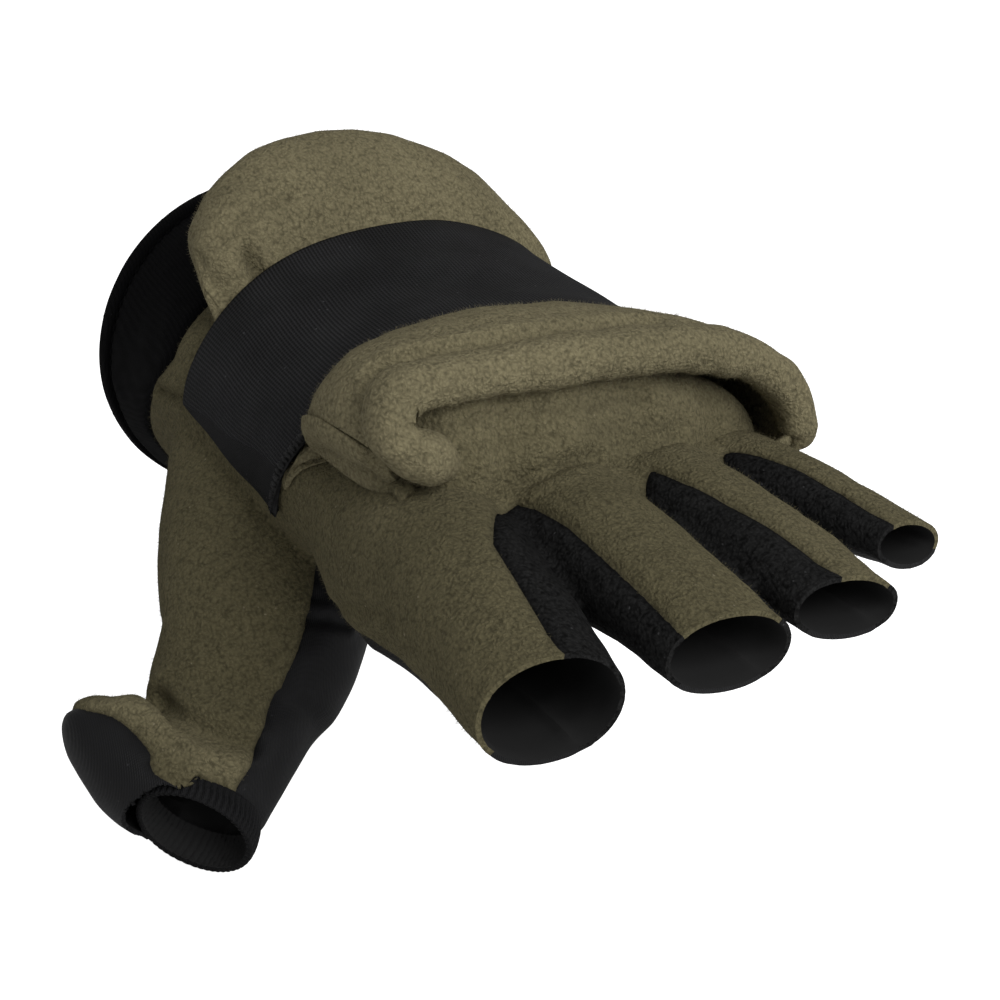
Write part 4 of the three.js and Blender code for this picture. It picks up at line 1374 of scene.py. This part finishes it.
u, v = unit_ring(circle(LIP_SIDES), 2.3)
lip_grid = (lip_line[:, None] + lip_across[:, None] * (LIP_WIDE * size * u)[..., None]
            + lip_up[:, None] * (LIP_HIGH * size * v)[..., None])
lumps = 0.25 * unevenness(lip_grid.reshape(-1, 3), 9, 31)
lip_grid = lip_grid + lumps.reshape(LIP_RINGS, LIP_SIDES, 1)
lip_faces = grid_faces(LIP_RINGS, LIP_SIDES, True).tolist()
last_ring = (LIP_RINGS - 1) * LIP_SIDES
lip_faces += [list(range(LIP_SIDES)), list(range(last_ring, last_ring + LIP_SIDES))]
hood_lip = mesh_from("hood_lip", lip_grid.reshape(-1, 3), lip_faces)
outwards = 0
for p in hood_lip.data.polygons:
    middle = Vector(lip_line[min(p.index // LIP_SIDES, LIP_RINGS - 1)] * MM)
    outwards += (p.center - middle).dot(p.normal)
if outwards < 0:
    hood_lip.data.flip_normals()
dressed(hood_lip, "hood_lip", [olive])
print("hem roll:", LIP_RINGS, "x", LIP_SIDES)

# %% [markdown]
# ## A geometry tree and how it is used up
# Stitches and fibres repeat one small shape hundreds or thousands of times, which is work for
# Geometry Nodes. Each tree has named inputs for its sizes and ends in real faces with a material.
# The modifier is run once and its result kept as a plain mesh.

# %% Helpers for geometry trees
SOCKETS = {"Ground": "NodeSocketGeometry", "Thread": "NodeSocketMaterial",
           "Cloth": "NodeSocketMaterial"}


def repeating(name, inputs):
    """A new geometry tree: the tree, the sockets it is given and the socket for its result."""
    tree = bpy.data.node_groups.new(name, "GeometryNodeTree")
    for label in ("Ground", *inputs):
        kind = SOCKETS.get(label, "NodeSocketFloat")
        tree.interface.new_socket(label, in_out="INPUT", socket_type=kind)
    tree.interface.new_socket("Made", in_out="OUTPUT", socket_type="NodeSocketGeometry")
    result = tree.nodes.new("NodeGroupOutput").inputs["Made"]
    return tree, tree.nodes.new("NodeGroupInput").outputs, result


def finish_tree(tree, copies, cloth, result):
    real = add(tree, "GeometryNodeRealizeInstances", Geometry=copies)
    coloured = add(tree, "GeometryNodeSetMaterial", Geometry=real.outputs[0], Material=cloth)
    tree.links.new(coloured.outputs[0], result)


def repeated(name, ground, tree, values):
    """Runs the tree on the ground and keeps the result as a plain mesh."""
    step = ground.modifiers.new("repeat", "NODES")
    step.node_group = tree
    for item in tree.interface.items_tree:
        if item.name in values:
            step[item.identifier] = values[item.name]
    return dressed(in_scene(name, result_of(ground)), None, [])


print("sockets with a kind of their own:", len(SOCKETS))

# %% [markdown]
# ## Stitches
# One stitch is a small capsule. The tree puts it on every point of a chain, turned along that
# point's own way and stretched to its length, so one tree serves both seams.

# %% The tree of the stitches
stitching, given, result = repeating("stitches", ["Thickness", "Thread"])
way = add(stitching, "GeometryNodeInputNamedAttribute", {"data_type": "FLOAT_VECTOR"},
          Name="way").outputs[0]
span = add(stitching, "ShaderNodeVectorMath", {"operation": "LENGTH"}, i0=way).outputs["Value"]
capsule = add(stitching, "GeometryNodeMeshUVSphere", Segments=6, Rings=5, Radius=0.5)
stretched = add(stitching, "ShaderNodeCombineXYZ", X=given["Thickness"], Y=given["Thickness"],
                Z=span)
along_way = add(stitching, "FunctionNodeAlignRotationToVector", {"axis": "Z"}, Vector=way)
placed = add(stitching, "GeometryNodeInstanceOnPoints", Points=given["Ground"],
             Instance=capsule.outputs["Mesh"], Rotation=along_way.outputs[0],
             Scale=stretched.outputs[0])
finish_tree(stitching, placed.outputs[0], given["Thread"], result)
print("stitch nodes:", len(stitching.nodes))

# %% [markdown]
# ## Overlocked edge and hem seam
# An overlock machine wraps loops of thread round the strap's cut edge, each a little aslant. A
# plain seam of short stitches holds the cuff's hem. Both are chains of loose points that the
# stitch tree turns into thread.

# %% Overlocked strap edge and stitched cuff hem
def chain(points, ways):
    """Loose points, each with the way its stitch runs."""
    made = mesh_from("chain", points, [])
    layer = made.data.attributes.new("way", "FLOAT_VECTOR", "POINT")
    layer.data.foreach_set("vector", (np.asarray(ways) * MM).astype(np.float32).ravel())
    return made


LOOP_PITCH, LOOP_THICKNESS, HEM_STITCHES, HEM_SEAM, HEM_THICKNESS = 1.05, 0.95, 86, -7.7, 0.5
steps = np.linalg.norm(np.diff(edge_points[:, 4], axis=0), axis=1)
walked = np.concatenate([[0], np.cumsum(steps)])
at = np.searchsorted(walked, np.arange(0, walked[-1], LOOP_PITCH))
two_on = np.minimum(at + 2, len(edge_points) - 1)
loop_ways = (edge_points[at, 7] - edge_points[at, 0]) * 1.05
loop_ways += 0.3 * (edge_points[two_on, 4] - edge_points[at, 4])
loop_points = edge_points[at, 4] * 0.6 + edge_points[at, 3] * 0.4
repeated("strap_overlock", chain(loop_points, loop_ways), stitching,
         {"Thickness": LOOP_THICKNESS * MM, "Thread": thread})
hem_y = np.full(HEM_STITCHES, HEM_SEAM)
s = section_at(HAND, hem_y)
u, v = unit_ring(circle(HEM_STITCHES), 2.0)
hem_points = np.stack([s[:, 1] + u * (s[:, 3] + 0.1), hem_y,
                       s[:, 2] + v * (np.where(v > 0, s[:, 4], s[:, 5]) + 0.1)], -1)
hem_ways = 0.36 * (np.roll(hem_points, -1, axis=0) - np.roll(hem_points, 1, axis=0))
repeated("cuff_stitches", chain(hem_points, hem_ways), stitching,
         {"Thickness": HEM_THICKNESS * MM, "Thread": knit_cloth})
print("overlock loops:", len(at), "hem stitches:", len(hem_points))

# %% [markdown]
# ## Loose fibres
# Brushing pulls fibres out of the fleece, and they soften its outline. Geometry Nodes scatter thin
# three-sided cones over the olive cloth, leaning at random from the surface. The seeds are fixed,
# and each fibre has four faces, so tens of thousands of them stay light.

# %% The tree of the fibres
nap, given, result = repeating("loose fibres", ["Density", "Length", "Thickness", "Cloth"])
spots = add(nap, "GeometryNodeDistributePointsOnFaces", Mesh=given["Ground"],
            Density=given["Density"], Seed=3)
stray = add(nap, "FunctionNodeRandomValue", {"data_type": "FLOAT_VECTOR"}, i0=(-1, -1, -1),
            i1=(1, 1, 1), Seed=5).outputs[0]
leaning = calculate(nap, "ADD", spots.outputs["Normal"], stray, kind="ShaderNodeVectorMath")
fibre_turn = add(nap, "FunctionNodeAlignRotationToVector", {"axis": "Z"}, Vector=leaning)
fibre = add(nap, "GeometryNodeMeshCone", {"fill_type": "NGON"}, Vertices=3, Radius_Top=0.0,
            Radius_Bottom=given["Thickness"], Depth=given["Length"])
planted = add(nap, "GeometryNodeInstanceOnPoints", Points=spots.outputs["Points"],
              Instance=fibre.outputs["Mesh"], Rotation=fibre_turn.outputs[0])
finish_tree(nap, planted.outputs[0], given["Cloth"], result)
fibre_cloth, fibre_tree, fibre_shader = new_material("olive_fibres", 0.9, 0.1)
tone = noise(fibre_tree, object_place(fibre_tree), 900.0)
shade = ramp(fibre_tree, tone, [(0.35, (0.13, 0.114, 0.068)), (0.65, (0.25, 0.222, 0.142))])
# Wear and painted shade from the ground darken the fibres.
shade = blend(fibre_tree, point_value(fibre_tree, "worn"), shade, (0.6, 0.6, 0.56), "MULTIPLY")
fibre_tree.links.new(shade, fibre_shader.inputs["Base Color"])
print("fibre nodes:", len(nap.nodes))

# %% [markdown]
# ## The ground that fibres grow on
# The fibres need one ground: the olive panels of the glove, the thumb's back and the three
# pieces of the hood, each with its wear and painted shade, so that a fibre is as dark as the cloth
# it grows on.

# %% Scatter fibres over the olive cloth
FIBRES_PER_SQUARE_METRE, FIBRE_LENGTH, FIBRE_RADIUS = 620000.0, 0.9, 0.035
ground_points, ground_worn = [points_shaped], [worn]
ground_faces = tris[np.isin(panel, [THUMB_BACK, BACK])].tolist()
for piece in (hood_top, hood_bottom, hood_lip):
    mesh, start = piece.data, sum(len(p) for p in ground_points)
    ground_points.append(points_of(mesh))
    ground_faces += [[start + k for k in p.vertices] for p in mesh.polygons]
    own_worn = np.zeros(len(mesh.vertices))
    if "worn" in mesh.attributes:
        mesh.attributes["worn"].data.foreach_get("value", own_worn)
    ground_worn.append(own_worn)
ground = mesh_from("pile_ground", np.concatenate(ground_points), ground_faces)
keep_values(ground, "worn", np.concatenate(ground_worn))
fibres = repeated("fleece_fibres", ground, nap, {
    "Density": FIBRES_PER_SQUARE_METRE, "Length": FIBRE_LENGTH * MM,
    "Thickness": FIBRE_RADIUS * MM, "Cloth": fibre_cloth})
print("fibres:", len(fibres.data.vertices) // 4)

# %% [markdown]
# ## Studio lights
# The photograph shows the glove on white, lit softly from the front and above. One large light
# does that, with a weak one from the right, and a white world fills the shadows. The camera sees
# the world at full strength, so the background stays white.

# %% Lights and background
AIR_STRENGTH = 0.45


def area_light(name, place, size, power):
    light = bpy.data.lights.new(name, "AREA")
    light.shape, light.size, light.energy = "DISK", size, power
    made = in_scene(name, light)
    made.location = place
    to_glove = AIM * MM - Vector(place)
    made.rotation_euler = to_glove.to_track_quat("-Z", "Y").to_euler()


def camera_ray(tree):
    return tree.nodes.new("ShaderNodeLightPath").outputs["Is Camera Ray"]


area_light("key", (-0.12, -1.04, 0.64), 0.7, 10.0)
area_light("fill", (0.9, -0.9, 0.35), 0.8, 3.0)
world = bpy.data.worlds.new("studio")
bpy.context.scene.world = world
world.use_nodes = True
backdrop = world.node_tree.nodes["Background"]
backdrop.inputs["Color"].default_value = (1, 1, 1, 1)
strength = map_range(world.node_tree, camera_ray(world.node_tree), 0.0, 1.0, AIR_STRENGTH, 1.0)
world.node_tree.links.new(strength, backdrop.inputs["Strength"])
bpy.context.scene.view_settings.view_transform = "Standard"
print("lights:", [light.name for light in bpy.data.lights])

# %% [markdown]
# ## Floor
# The floor is a pale plain just below the glove. It glows a little for the camera alone, so it
# is as white as the background, and still sends soft light up at the glove.

# %% Floor
FLOOR_LEVEL, FLOOR_REACH, FLOOR_GLOW = cad_low.z / MM - 1, 30000, 0.9
floor_corners = [[x * FLOOR_REACH, y * FLOOR_REACH, FLOOR_LEVEL]
                 for x, y in ((-1, -1), (1, -1), (1, 1), (-1, 1))]
floor = mesh_from("floor", floor_corners, [(0, 1, 2, 3)])
floor_cloth, floor_tree, floor_shader = new_material("pale_floor", 0.9, 0.5, (0.8, 0.8, 0.8))
floor_shader.inputs["Emission Color"].default_value = (1, 1, 1, 1)
glow = calculate(floor_tree, "MULTIPLY", camera_ray(floor_tree), FLOOR_GLOW)
floor_tree.links.new(glow, floor_shader.inputs["Emission Strength"])
floor.data.materials.append(floor_cloth)
print("floor at z, mm:", round(FLOOR_LEVEL, 1))
